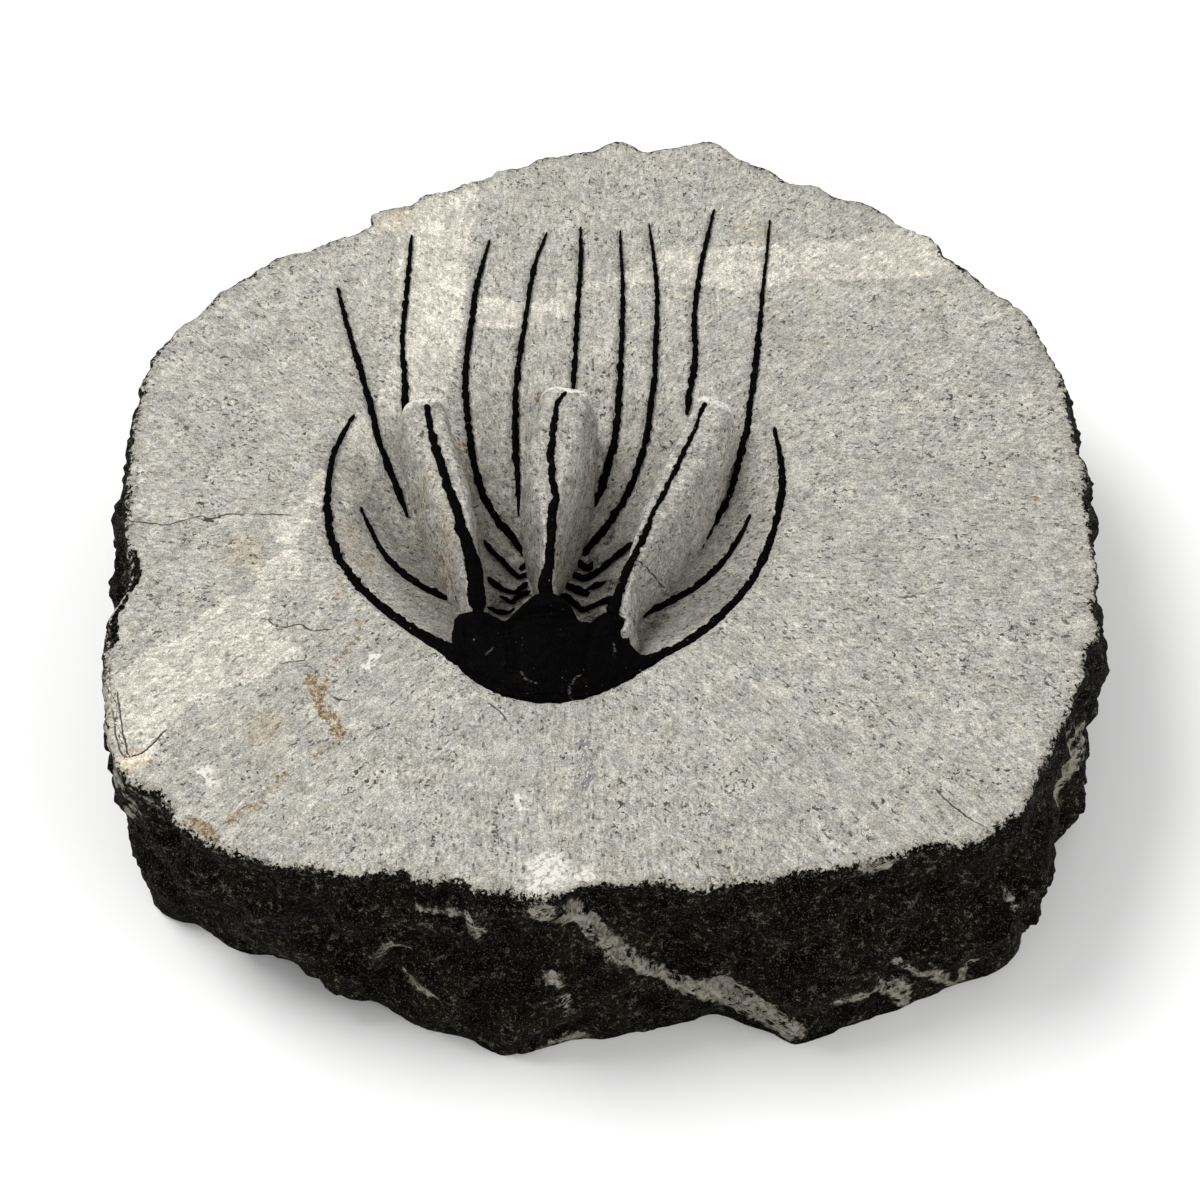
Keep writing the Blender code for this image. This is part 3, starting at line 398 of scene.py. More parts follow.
# --- mesh resolution ------------------------------------------------------------------
GRID = 225                  # points along each side of the top's grid
CROWDING = 0.62             # how strongly the grid's lines crowd towards the bowl
GRID_MIDDLE = (-0.09, -0.13)    # where they crowd, as a share of the slab's radius
RIM_ROWS = 4                # rows over the worn edge
SIDE_ROWS = 40              # rows down the broken side
SPINE_SIDES = 16
SPINE_PITCH = 0.16          # spacing of a spine's cross sections
HEAD_POINTS = 400
HEAD_RINGS = 84
FIN_STATIONS = 140          # rays along each side of a fin
FIN_CAP_RAYS = 30           # rays round each of its ends
FIN_STEPS = 38              # points down a ray
UNDERSIDE_RINGS = (0.985, 0.8, 0.4)     # rings under the slab, as shares of its foot
UNDERSIDE_PAST = 30.0       # distance past the rim given to the underside
FIN_CROWDING = 1.7          # how strongly a ray's points crowd towards the fin's foot
MARK_REACH = 3.0            # distances to calcite, cracks and streaks are held within this
OUTLINE_POINTS = 1440       # points read on a closed outline

# --- stage, in metres -------------------------------------------------------------------
FLOOR_HALF = 3.0
FLOOR_GAP = 0.0001          # from the floor up to the slab's underside
# Place, size and share of the light's strength.
LIGHTS = {"key": ((-0.30, 0.10, 0.62), 0.30, 1.0), "fill": ((0.5, -0.35, 0.5), 0.6, 0.5)}
LIT_POINT = (0.0, 0.0, 0.020)
CAMERA_TARGET = (0.0, -0.010, 0.020)


# --- settings ---------------------------------------------------------------------------
class StoneSettings(bpy.types.PropertyGroup):
    """Colours and relief of the limestone."""

    prepared: FloatVectorProperty(
        name="Prepared top", description="Colour of the tooled limestone", subtype="COLOR", size=3,
        min=0, max=1, default=(0.413, 0.400, 0.354))
    calcite: FloatVectorProperty(
        name="Calcite", description="Colour of the pale bands and patches", subtype="COLOR", size=3,
        min=0, max=1, default=(0.575, 0.548, 0.468))
    broken: FloatVectorProperty(
        name="Broken side", description="Colour of the dark broken sides", subtype="COLOR", size=3,
        min=0, max=1, default=(0.0018, 0.0016, 0.0010))
    tool_marks: FloatProperty(
        name="Tool marks", description="Height of the marks that tools left on the top", unit="LENGTH",
        min=0, max=0.001, default=0.00012)
    facet_relief: FloatProperty(
        name="Facets", description="How far the broken facets stand in and out of the sides", unit="LENGTH",
        min=0, max=0.002, default=0.0008)


class ShellSettings(bpy.types.PropertyGroup):
    """Colour and raggedness of the fossil shell."""

    colour: FloatVectorProperty(
        name="Shell", description="Colour of the fossil shell", subtype="COLOR", size=3,
        min=0, max=1, default=(0.0007, 0.0006, 0.0006))
    ragged: FloatProperty(
        name="Raggedness", description="How unevenly the spines' edges are worn", unit="LENGTH",
        min=0, max=0.0005, default=0.00011)
    sides: IntProperty(
        name="Spine sides", description="Faces round a spine", min=6, max=32, default=SPINE_SIDES)


class StageSettings(bpy.types.PropertyGroup):
    """Floor, light and camera."""

    floor: FloatVectorProperty(
        name="Floor", description="Colour of the floor", subtype="COLOR", size=3, min=0, max=1,
        default=(0.9, 0.9, 0.895))
    key_power: FloatProperty(name="Key light", description="Strength of the soft key light in watts",
                             min=0, max=500, default=2.9)
    sky: FloatProperty(name="Sky", description="Strength of the even light from all round",
                       min=0, max=5, default=0.70)
    elevation: FloatProperty(name="Camera elevation", description="Angle of the camera above the horizon",
                             subtype="ANGLE", default=math.radians(52.0))
    distance: FloatProperty(name="Camera distance", description="From the camera to the point it looks at",
                            unit="LENGTH", default=0.3435)
    lens: FloatProperty(name="Lens", description="Focal length", subtype="DISTANCE_CAMERA", default=85.0)


# --- curves and fields --------------------------------------------------------------------
def curve(points, count, closed=False):
    """Catmull-Rom curve through the points, read at evenly spaced parameters."""
    p = np.asarray(points, float)
    if closed:
        p = np.vstack([p[-1:], p, p[:2]])
    else:
        p = np.vstack([2 * p[:1] - p[1:2], p, 2 * p[-1:] - p[-2:-1]])
    spans = len(p) - 3
    t = np.linspace(0, spans, count, endpoint=not closed)
    i = np.minimum(t.astype(int), spans - 1)
    f = (t - i)[:, None]
    a, b, c, d = p[i], p[i + 1], p[i + 2], p[i + 3]
    return 0.5 * (2 * b + (c - a) * f + (2 * a - 5 * b + 4 * c - d) * f**2 + (3 * b - a - 3 * c + d) * f**3)


def along(values, count):
    """The same curve for a list of plain numbers."""
    return curve([(v,) for v in values], count)[:, 0]


def radius_of(outline, centre=(0.0, 0.0)):
    """Radius of a closed plan outline about a centre, as a function of angle."""
    p = curve(outline, OUTLINE_POINTS, closed=True) - np.asarray(centre)
    angle = np.mod(np.arctan2(p[:, 1], p[:, 0]), math.tau)
    order = np.argsort(angle)
    known = np.concatenate([angle[order] + k * math.tau for k in (-1, 0, 1)])
    radius = np.tile(np.hypot(p[:, 0], p[:, 1])[order], 3)
    return lambda a: np.interp(np.mod(a, math.tau), known, radius)


def cross_section_lines(line):
    """Unit tangents of a plan line, and unit normals to its right."""
    tangent = np.gradient(line, axis=0)
    tangent /= np.linalg.norm(tangent, axis=1)[:, None]
    return tangent, np.stack([tangent[:, 1], -tangent[:, 0]], -1)


def waves(points, wavelength, seed, count=14):
    """Smooth noise from -1 to 1: a sum of plane waves in seeded directions."""
    rng = np.random.default_rng(seed)
    aim = rng.normal(size=(count, points.shape[-1]))
    aim /= np.linalg.norm(aim, axis=1)[:, None]
    pitch = math.tau / (wavelength * rng.uniform(0.7, 1.5, count))
    phase = rng.uniform(0, math.tau, count)
    return np.cos(points @ (aim * pitch[:, None]).T + phase).sum(axis=-1) / (1.3 * math.sqrt(count))


def uneven(points, *kinds):
    """Sum of sets of waves, each given as (height, wavelength, seed)."""
    return sum(height * waves(points, wavelength, seed) for height, wavelength, seed in kinds)


def smooth_step(value, low, high):
    """0 below low, 1 above high, and 3t^2 - 2t^3 between."""
    t = np.clip((value - low) / (high - low), 0, 1)
    return t * t * (3 - 2 * t)


def facets(around, height, lap, size, seed):
    """Broken faces on the side, from about -1 to 1.

    The side is unrolled and divided into cells, each with a centre set at random in it.
    A point takes the tilted plane of its nearest centre; towards the next nearest the two
    planes are mixed, which leaves a soft crease between faces.
    """
    columns, rows = max(3, round(lap / size)), math.ceil((SLAB_HEIGHT + SIDE_DEPTH) / size) + 2
    table = np.random.default_rng(seed).random((columns, rows, 5))
    c, r = around / lap * columns, height / size + 1
    first, second = np.full(c.shape, 9.0), np.full(c.shape, 9.0)
    face, neighbour = np.zeros(c.shape), np.zeros(c.shape)
    for step_c in (-1, 0, 1):
        for step_r in (-1, 0, 1):
            i, j = np.floor(c).astype(int) + step_c, np.floor(r).astype(int) + step_r
            cell = table[i % columns, np.clip(j, 0, rows - 1)]
            across, up = c - i - cell[..., 0], r - j - cell[..., 1]
            distance = np.hypot(across, up)
            tilt = (cell[..., 3] - 0.5) * across + (cell[..., 4] - 0.5) * up
            plane = 2 * (cell[..., 2] - 0.5) + FACET_LEAN * tilt
            nearest, next_best = distance < first, (distance >= first) & (distance < second)
            neighbour = np.where(nearest, face, np.where(next_best, plane, neighbour))
            second = np.where(nearest, first, np.where(next_best, distance, second))
            face, first = np.where(nearest, plane, face), np.where(nearest, distance, first)
    share = 0.5 + 0.5 * smooth_step(second - first, 0.0, 0.3)
    return face * share + neighbour * (1 - share)


def blended_max(a, b, width=BLEND):
    """The larger of two heights, with a fillet of the given width between them."""
    h = np.clip(0.5 + 0.5 * (a - b) / width, 0, 1)
    return b + (a - b) * h + width * h * (1 - h)


bowl_radius = radius_of(BOWL_RIM, BOWL_CENTRE)


def plain_height(x, y):
    """Top of the slab with the bowl alone: depth * (1 - r^2)^e, r = 1 at the bowl's rim."""
    dx, dy = x - BOWL_CENTRE[0], y - BOWL_CENTRE[1]
    angle = np.arctan2(dy, dx)
    reach = np.hypot(dx, dy) / bowl_radius(angle)
    ease = 1 + BACK_EASE * np.clip(np.sin(angle), 0, 1) ** 2
    top = SLAB_HEIGHT - TOP_DOME * (x**2 + y**2) / TOP_REACH**2
    return top - BOWL_DEPTH * np.clip(1 - reach**2, 0, None) ** ease


def near_box(x, y, line, reach):
    """Which points lie within `reach` of the box round a line."""
    (left, front), (right, back) = line.min(axis=0) - reach, line.max(axis=0) + reach
    return (x > left) & (x < right) & (y > front) & (y < back)


def distance_to(x, y, route, count=160, reach=6.0):
    """Plan distance to a route, out to `reach`; further points read as `reach`."""
    line = curve([point[:2] for point in route], count)
    apart = np.full(x.shape, reach)
    near = near_box(x, y, line, reach)
    gap = (x[near][:, None] - line[:, 0]) ** 2 + (y[near][:, None] - line[:, 1]) ** 2
    apart[near] = np.minimum(np.sqrt(gap.min(axis=1)), reach)
    return apart


def nearest_of(x, y, routes, **reading):
    """Plan distance to the nearest of several routes."""
    return np.min([distance_to(x, y, route, **reading) for route in routes], axis=0)


def inside_distance(x, y, outline, reach=MARK_REACH):
    """Distance to a closed outline in millimetres, positive inside it, held within `reach`."""
    line = curve(outline, 20 * len(outline), closed=True)
    line = evenly(np.vstack([line, line[:1]]), 0.5)[:-1]
    after = np.roll(line, -1, axis=0)
    depth = np.full(x.shape, -reach)
    near = near_box(x, y, line, reach)
    px, py = x[near][:, None], y[near][:, None]
    gap = np.sqrt(((px - line[:, 0]) ** 2 + (py - line[:, 1]) ** 2).min(axis=1))
    level = line[:, 0] + (after[:, 0] - line[:, 0]) * (py - line[:, 1]) / (after[:, 1] - line[:, 1] + 1e-9)
    inside = (((line[:, 1] > py) != (after[:, 1] > py)) & (px < level)).sum(axis=1) % 2 == 1
    depth[near] = np.where(inside, 1, -1) * np.minimum(gap, reach)
    return depth


# --- markings -----------------------------------------------------------------------------
def stain_and_shade_at(x, y, lines=(), spots=()):
    """Share of a stain or of painted shade: soft bands along the lines, and round spots."""
    share = np.zeros(x.shape)
    for route, half, strength in lines:
        band = 1 - smooth_step(distance_to(x, y, route, 60), half * 0.4, half * 2)
        share = np.maximum(share, strength * band)
    for cx, cy, radius in spots:
        share = np.maximum(share, 1 - smooth_step(np.hypot(x - cx, y - cy), radius * 0.3, radius * 1.6))
    return share


def calcite_at(x, y):
    """Distance into the nearest patch of calcite, negative outside."""
    return np.max([inside_distance(x, y, outline) for outline in CALCITE], axis=0)


def crack_at(x, y, reach=MARK_REACH):
    """Distance to the nearest crack up to `reach`, and the same with a sign for the side of it."""
    gap, signed = np.full(x.shape, reach), np.full(x.shape, reach)
    for route in CRACKS:
        line = curve(route, 200)
        step = np.gradient(line, axis=0)
        near = distance_to(x, y, route, 200, reach) < gap
        apart = np.stack([x[near][:, None] - line[:, 0], y[near][:, None] - line[:, 1]], -1)
        length = np.linalg.norm(apart, axis=-1)
        closest = length.argmin(axis=1)
        rows = np.arange(len(closest))
        offset = apart[rows, closest]
        side = step[closest, 0] * offset[:, 1] - step[closest, 1] * offset[:, 0]
        gap[near] = length[rows, closest]
        signed[near] = gap[near] * np.sign(side)
    return gap, signed


def side_pale(degrees, z, reach=MARK_REACH):
    """Distance in millimetres into the pale streaks of the side, negative outside them."""
    lap = TOP_REACH * math.radians(1)
    depth = np.full(z.shape, -reach)
    for route in SIDE_STREAKS:
        line = curve([(angle * lap, height, half) for angle, height, half in route], 16 * len(route))
        across, up = degrees.ravel()[:, None] * lap - line[:, 0], z.ravel()[:, None] - line[:, 1]
        gap = np.hypot(across, up) - line[:, 2]
        depth = np.maximum(depth, -gap.min(axis=1).reshape(z.shape))
    return depth


# --- meshes ---------------------------------------------------------------------------------
def grid_faces(table, closed=False):
    """Quads over a table of point numbers; a closed one joins its last column to its first."""
    after = np.roll(table, -1, axis=1)
    a, b, c, d = table[:-1], table[1:], after[1:], after[:-1]
    quads = np.stack([a, b, c, d], -1)
    return (quads if closed else quads[:, :-1]).reshape(-1, 4)


def fan(ring, pole):
    """Triangles from a ring of point numbers to the one point that closes it."""
    return np.stack([ring, np.full(len(ring), pole), np.roll(ring, -1)], -1)


def add_piece(name, points, faces, material, replaces=(), marks=None, merge=0.0):
    """A finished piece from points in millimetres and tables of faces, riding on the body.

    `marks` are named values, one for each point, that the material reads.  With `merge`,
    points closer than that are joined, which closes poles and seams.
    """
    mesh = bpy.data.meshes.new(name)
    mesh.from_pydata((points * MM).tolist(), [], [face for table in faces for face in table.tolist()])
    for mark, values in (marks or {}).items():
        mesh.attributes.new(mark, "FLOAT", "POINT").data.foreach_set("value", np.asarray(values, np.float32))
    bm = bmesh.new()
    bm.from_mesh(mesh)
    if merge:
        bmesh.ops.remove_doubles(bm, verts=bm.verts, dist=merge * MM)
    bmesh.ops.recalc_face_normals(bm, faces=bm.faces)
    bm.to_mesh(mesh)
    bm.free()
    mesh.shade_smooth()
    mesh.materials.append(material)
    piece = bpy.data.objects.new(name, mesh)
    bpy.context.scene.collection.objects.link(piece)
    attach(piece, BODY)
    if replaces:
        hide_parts(*replaces)
    return piece


def crowded(u, v):
    """Moves a square grid's lines towards the bowl: u(1 - c) + c u^3 + middle * w, with the
    crowding c and the shift both fading to nothing at the square's edge as w = 1 - u^4 - v^4."""
    inner = 1 - np.minimum(1, u**4 + v**4)
    crowd = CROWDING * inner
    return tuple(t * (1 - crowd) + crowd * t**3 + middle * inner for t, middle in zip((u, v), GRID_MIDDLE))


def stone_top(x, y):
    """Height of the prepared top without the fins.

    The plain top and bowl, less a low hollow between spines, raised to the rock under the
    head and the spur beside it, less the groove cleaned beside each spine, with the waves
    that hand tools leave.
    """
    h = plain_height(x, y)
    sunk = np.clip((SLAB_HEIGHT - h) / FLUTE_ONSET, 0, 1)
    side_spines = nearest_of(x, y, PLEURAL.values())
    h = h - FLUTE_DEPTH * sunk * np.clip(side_spines / FLUTE_REACH, 0, 1) ** 2
    u = np.hypot((x - BOSS[0]) / BOSS[2], (y - BOSS[1]) / BOSS[3])
    h = blended_max(h, FIN_FOOT + (BOSS_TOP - FIN_FOOT) * np.clip(1 - u**BOSS_FULLNESS, -1, 1))
    points = np.stack([x, y], -1)
    wander = uneven(points, *GROOVE_WANDER)
    depth, reach = GROOVE
    cut = np.zeros(x.shape)
    apart = np.minimum(side_spines, nearest_of(x, y, [limb for limbs in RIBS.values() for limb in limbs]))
    genal = nearest_of(x, y, GENAL.values())
    head_gap = np.hypot(x - HEAD_MIDDLE[0], y - HEAD_MIDDLE[1])
    head_radius = head_outline_radius(np.arctan2(y - HEAD_MIDDLE[1], x - HEAD_MIDDLE[0]))
    for gap, beside in ((apart, BESIDE_SPINE), (genal, BESIDE_GENAL), (head_gap, head_radius)):
        cut = np.maximum(cut, np.exp(-(np.clip(gap + wander - beside, 0, None) / reach) ** 2))
    h = h - depth * cut
    cleft_depth, cleft_half = CLEFT_SIZE
    h = h - cleft_depth * np.exp(-(distance_to(x, y, CLEFT) / cleft_half) ** 2)
    x0, y0, half_x, half_y, top, slant = SPUR
    lean = (x - x0) - slant * (y - y0)
    spur = np.hypot(lean / half_x, (y - y0) / half_y) + uneven(points, SPUR_EDGE)
    h = np.maximum(h, FIN_FOOT + (top - FIN_FOOT) * np.clip(1 - spur**4, -1, 1))
    return h + tool_relief(points, sunk)


def tool_relief(points, sunk):
    """Low dents of tooling: waves of 9, 3 and 1.3 mm, weaker in the bowl."""
    height = bpy.context.scene.trilobite_stone.tool_marks / MM
    return height * uneven(points, *TOOL_DENTS) * (1 - 0.4 * sunk)


def head_outline(count):
    """The shield's plan outline about its middle."""
    return curve(np.subtract(HEAD_OUTLINE, HEAD_MIDDLE), count, closed=True)


def head_outline_radius(angle):
    """Radius of the shield's outline about its middle, at an angle."""
    p = head_outline(OUTLINE_POINTS)
    known = np.mod(np.arctan2(p[:, 1], p[:, 0]), math.tau)
    order = np.argsort(known)
    radius = np.hypot(p[:, 0], p[:, 1])
    return np.interp(np.mod(angle, math.tau), known[order], radius[order], period=math.tau)


def build_stone(material):
    """The slab: a grid pressed into the rim's outline, rows down the side, rings underneath.

    Square to disc: (u sqrt(1 - v^2/2), v sqrt(1 - u^2/2)).
    """
    line = np.linspace(-1, 1, GRID)
    u, v = crowded(*np.meshgrid(line, line, indexing="ij"))
    dx, dy = u * np.sqrt(1 - v**2 / 2), v * np.sqrt(1 - u**2 / 2)
    angle, reach = np.arctan2(dy, dx), np.hypot(dx, dy)
    around_rim = TOP_REACH * np.stack([np.cos(angle), np.sin(angle)], -1)
    rim = radius_of(RIM)(angle) + uneven(around_rim, CHIP) - RIM_ROUNDING + uneven(around_rim, *RIM_NOTCHES)
    x, y = rim * reach * np.cos(angle), rim * reach * np.sin(angle)
    # The rim broken away on the left: a sloping face in place of the outermost top.
    middle, half, width, depth = RIM_BREAK
    off_middle = np.abs(np.degrees(angle) - middle) + uneven(around_rim, BREAK_ENDS)
    window = 1 - smooth_step(off_middle, half - 2, half)
    margin = (1 - reach) * rim + uneven(np.stack([x, y], -1), BREAK_MARGIN)
    broken_rim = window * (1 - smooth_step(margin, width * 0.5, width))
    top = np.stack([x, y, stone_top(x, y) - depth * broken_rim], -1)

    n = GRID - 1
    up, down, low, high = np.arange(n), np.arange(n, 0, -1), np.zeros(n, int), np.full(n, n)
    at = np.concatenate([up, high, down, low]), np.concatenate([low, up, high, down])
    count = 4 * n
    side, run = broken_side(angle[at], top[at], rim[at] + RIM_ROUNDING)
    under = [side[-1] * (share, share, 1) for share in UNDERSIDE_RINGS]
    rings = np.concatenate([side, np.array(under)])
    first = GRID * GRID
    table = np.arange(first).reshape(GRID, GRID)
    ring_table = np.vstack([table[at][None], first + np.arange(len(rings) * count).reshape(-1, count)])
    points = np.vstack([top.reshape(-1, 3), rings.reshape(-1, 3), [(0, 0, 0)]])
    faces = [grid_faces(table.T)[:, ::-1], grid_faces(ring_table, closed=True),
             fan(ring_table[-1], len(points) - 1)]

    # Distance past the rim: negative inwards on the top, positive down the side and underneath.
    past = np.full(len(points), UNDERSIDE_PAST)
    past[:first] = (-(1 - reach) * rim * (1 - broken_rim) + 1.5 * broken_rim).ravel()
    past[first:first + run.size] = run.ravel()
    pale = np.full(len(points), -MARK_REACH)
    degrees = np.degrees(np.broadcast_to(angle[at], run.shape))
    pale[first:first + run.size] = side_pale(degrees, side[..., 2]).ravel()
    px, py = points[:, 0], points[:, 1]
    flat = np.arange(len(points)) < first
    crack_gap, crack_side = crack_at(px, py)
    marks = {"past_rim": past, "calcite": calcite_at(px, py), "pale_rock": pale, "crack": crack_side,
             "crack_gap": np.where(flat, crack_gap, MARK_REACH)}
    for name, (lines, spots) in STAINS_AND_SHADE.items():
        marks[name] = stain_and_shade_at(px, py, lines, spots) * flat
    return add_piece("limestone_matrix", points, faces, material, ["matrix_stone"], marks)


def broken_side(around, inner, rim_r):
    """Rows of points from the worn edge down to the saw cut, and their distance past the rim.

    The edge is a quarter circle.  Below it the radius is rim + (foot - rim) f + belly sin(pi f),
    with waves, broken facets of three sizes, and the hollow under the rim in front.
    """
    bend = np.linspace(0, math.pi / 2, RIM_ROWS + 1)[1:, None]
    edge_r = rim_r - RIM_ROUNDING * (1 - np.sin(bend))
    edge_z = inner[:, 2] - RIM_ROUNDING * (1 - np.cos(bend))
    start = inner[:, 2] - RIM_ROUNDING
    f = np.linspace(0, 1, SIDE_ROWS + 1)[1:, None] * start / (start + SIDE_DEPTH)
    side_z = start * (1 - f) - SIDE_DEPTH * f
    where, half, depth = LEFT_HOLLOW
    bulge = BELLY - depth * np.exp(-((np.degrees(around) - where) / half) ** 2)
    side_r = rim_r + (radius_of(FOOT)(around) - rim_r) * f + bulge * np.sin(math.pi * f)
    z = np.concatenate([edge_z, side_z])
    radius = np.concatenate([edge_r, side_r])
    run = np.concatenate([edge_z * 0 + bend * RIM_ROUNDING, RIM_ROUNDING * math.pi / 2 + start - side_z])

    ring = np.stack([radius * np.cos(around), radius * np.sin(around), z], -1)
    drop = np.concatenate([np.zeros_like(edge_z), f])
    setting_in = np.minimum(1.0, drop / ROUGH_START)
    calm = 0.3 + 0.7 * smooth_step(z, 0.5, 5.0)        # smoother towards the saw cut
    radius = radius + (uneven(ring, ROUGH_COARSE) + uneven(ring, ROUGH_FINE) * calm) * setting_in
    lap = math.tau * TOP_REACH
    unrolled = np.broadcast_to(np.mod(around, math.tau) * TOP_REACH, z.shape)
    large, middling, small = (height * facets(unrolled, z, lap, size, seed) for height, size, seed in FACETS)
    broken = large + calm * (middling + small + uneven(ring, SIDE_GRAIN))
    below = smooth_step(inner[:, 2] - z, 0.2, 3.0)
    relief = bpy.context.scene.trilobite_stone.facet_relief / MM
    radius = radius + relief * broken * (0.15 + 0.85 * below) - 0.25 * below
    z = z + uneven(ring, SIDE_SAG) * (z > 0.5) * (drop > 0)
    radius = radius - side_ledge(np.degrees(np.broadcast_to(around, z.shape)), z) * below
    z[-1] = 0.0
    return np.stack([radius * np.cos(around), radius * np.sin(around), z], -1), run


def side_ledge(degrees, z):
    """Hollow under the rim in front: deepest just above the slanting vein, fading upwards."""
    lap = TOP_REACH * math.radians(1)
    vein = SIDE_STREAKS[0]
    line = np.interp(degrees, [point[0] for point in vein], [point[1] for point in vein])
    above = z - line
    window = smooth_step(degrees, -96, -91) * (1 - smooth_step(degrees, -78, -66))
    fading = np.exp(-np.clip(above * 0.8, 0, None) / (9 * lap))
    return LEDGE_DEPTH * window * smooth_step(above, 0.2, 1.4) * fading


def build_fin(name, fin, material):
    """One fin of rock: rays fan out from its crest line to its outline and back underneath.

    A ray runs from the crest (u = 0) to the foot (u = 1) and falls as 1 - u^fullness; along
    the sides rays stand square to the crest, and at the two ends they follow a squared oval.
    """
    line = curve(fin["route"], FIN_STATIONS)
    tangent, normal = cross_section_lines(line)
    right, left, crest = (along(fin[k], FIN_STATIONS) for k in ("right", "left", "crest"))

    def cap(at, length, sense):
        """Rays round one end, from one side to the other."""
        turn = np.linspace(0, math.pi, FIN_CAP_RAYS + 2)[1:-1] * sense
        if sense < 0:
            turn = turn + math.pi
        across, ahead = np.cos(turn), np.abs(np.sin(turn))
        half = np.where(across > 0, right[at], left[at])
        squared = (np.abs(across) ** END_SQUARENESS + ahead**END_SQUARENESS) ** (-1 / END_SQUARENESS)
        forward = tangent[at] if sense > 0 else -tangent[at]
        return (across * squared * half)[:, None] * normal[at] + (ahead * squared * length)[:, None] * forward

    def there_and_back(values):
        """Values at the rays' starts: along the crest, round its far end, back, and round its near end."""
        ends = (np.repeat(values[at], FIN_CAP_RAYS, 0) for at in (slice(-1, None), slice(1)))
        return np.concatenate([values, next(ends), values[::-1], next(ends)])

    start, high = there_and_back(line), there_and_back(crest)
    out = np.concatenate([normal * right[:, None], cap(-1, FIN_END[1], 1), (-normal * left[:, None])[::-1],
                          cap(0, FIN_END[0], -1)])
    u = 1 - (1 - np.linspace(0, 1, FIN_STEPS)) ** FIN_CROWDING
    top = np.concatenate([start[:, None] + out[:, None] * u[:, None],
                          (FIN_FOOT + (high[:, None] - FIN_FOOT) * (1 - u**FIN_FULLNESS))[..., None]], -1)
    wall = smooth_step(u, 0.25, 0.8)[None, :, None]
    outward = np.column_stack([out / np.linalg.norm(out, axis=1)[:, None], np.zeros(len(out))])[:, None]
    dents = uneven(top, *FIN_DENTS)[..., None]
    lift = uneven(top, *FIN_CREST_WAVES)[..., None] * (1 - wall)
    moved = top + outward * dents * wall + np.array([0, 0, 1.0]) * lift * (u > 0.08)[None, :, None]
    back = u[::-1]
    under = np.concatenate([start[:, None] + out[:, None] * back[:, None],
                            np.full((len(start), FIN_STEPS, 1), FIN_FOOT - 0.5)], -1)
    rays = np.concatenate([moved, under], axis=1)
    table = np.arange(rays.shape[0] * rays.shape[1]).reshape(rays.shape[:2])
    points = rays.reshape(-1, 3)
    faces = [grid_faces(np.vstack([table, table[:1]]))]
    px, py = points[:, 0], points[:, 1]
    # A pale rim round the far end: partly broken pale rock, partly a painted highlight on the lit edge.
    ahead = (px - line[-1, 0]) * tangent[-1, 0] + (py - line[-1, 1]) * tangent[-1, 1]
    far = smooth_step(ahead, -0.5, 1.0) * smooth_step(points[:, 2], crest[-1] - 5.0, crest[-1] - 1.5)
    zero = np.zeros(len(points))
    rust = np.max([1 - smooth_step(np.linalg.norm(points - spot[:3], axis=1), 0.3 * spot[3], 1.6 * spot[3])
                   for spot in FIN_RUST], axis=0)
    # The crack's mark is the signed distance to a plane through it, read only along its length.
    first, last = np.array(FIN_CRACK)
    share = (points - first) @ (last - first) / ((last - first) @ (last - first))
    square = np.cross(last - first, (*normal[FIN_STATIONS // 3], 0))
    crack = (points - first) @ square / np.linalg.norm(square)
    crack_gap = np.abs(crack) + 9 * np.clip(np.abs(share - 0.5) - 0.5, 0, None)
    marks = {"past_rim": zero - 2 * MARK_REACH, "calcite": calcite_at(px, py), "pale_rock": zero - MARK_REACH,
             "rust": rust, "chalk_and_highlight": far, "slate": zero, "tan": stain_and_shade_at(px, py, *STAINS_AND_SHADE["tan"]),
             "crack": crack, "crack_gap": np.minimum(crack_gap, MARK_REACH), "soot_and_shade": zero + FIN_SOOT,
             "shade": zero}
    return add_piece(f"limestone_fin_{name}", points, faces, material, (), marks, merge=0.001)


def spine_rings(route, radii, seed, crown, root):
    """Cross sections of a spine: a flat-topped upper half `crown` half widths high, steep
    sides that run `root` below the route, and edges ruffled by short waves."""
    settings = bpy.context.scene.trilobite_shell
    step = np.gradient(route, axis=0)
    step /= np.linalg.norm(step, axis=1)[:, None]
    across = np.stack([step[:, 1], -step[:, 0], np.zeros(len(step))], -1)
    across /= np.linalg.norm(across, axis=1)[:, None]
    up = np.cross(across, step)
    turn = (np.arange(settings.sides) + 0.5) * math.tau / settings.sides
    side = np.sign(np.cos(turn)) * np.abs(np.cos(turn)) ** SQUARENESS
    rise = np.sign(np.sin(turn)) * np.abs(np.sin(turn)) ** SQUARENESS
    half = radii[:, None]
    tall = np.where(rise > 0, crown * half, np.minimum(root + 0.3 * half, 3 * half))
    out = (side * half)[..., None] * across[:, None]
    rings = route[:, None] + out + (rise * tall)[..., None] * up[:, None]
    ruffle = uneven(rings, *((share, length, seed + k) for k, (share, length) in enumerate(RUFFLES)))
    ragged = settings.ragged / MM * ruffle * np.minimum(1, half / 0.4)
    sideways, upwards = ragged * side, 0.5 * ragged * np.abs(rise)
    return rings + sideways[..., None] * across[:, None] + upwards[..., None] * up[:, None]


def build_spine(name, limbs, seed, material, crown=SPINE_CROWN, root=SPINE_ROOT):
    """One spine from its limbs (route, radii), each a tube with a pole at both ends."""
    points, faces, before = [], [], 0
    for k, (route, radii) in enumerate(limbs):
        rings = spine_rings(route, radii, seed + 3 * k, crown, root)
        count, sides = rings.shape[:2]
        table = before + np.arange(count * sides).reshape(count, sides)
        first = before + count * sides
        points.append(np.vstack([rings.reshape(-1, 3), rings[[0, -1]].mean(axis=1)]))
        faces += [grid_faces(table, closed=True), fan(table[0, ::-1], first), fan(table[-1], first + 1)]
        before = first + 2
    points = np.vstack(points)
    unscuffed = {"scuff": np.zeros(len(points))}
    return add_piece(f"{name}_shell", points, faces, material, [name], unscuffed)


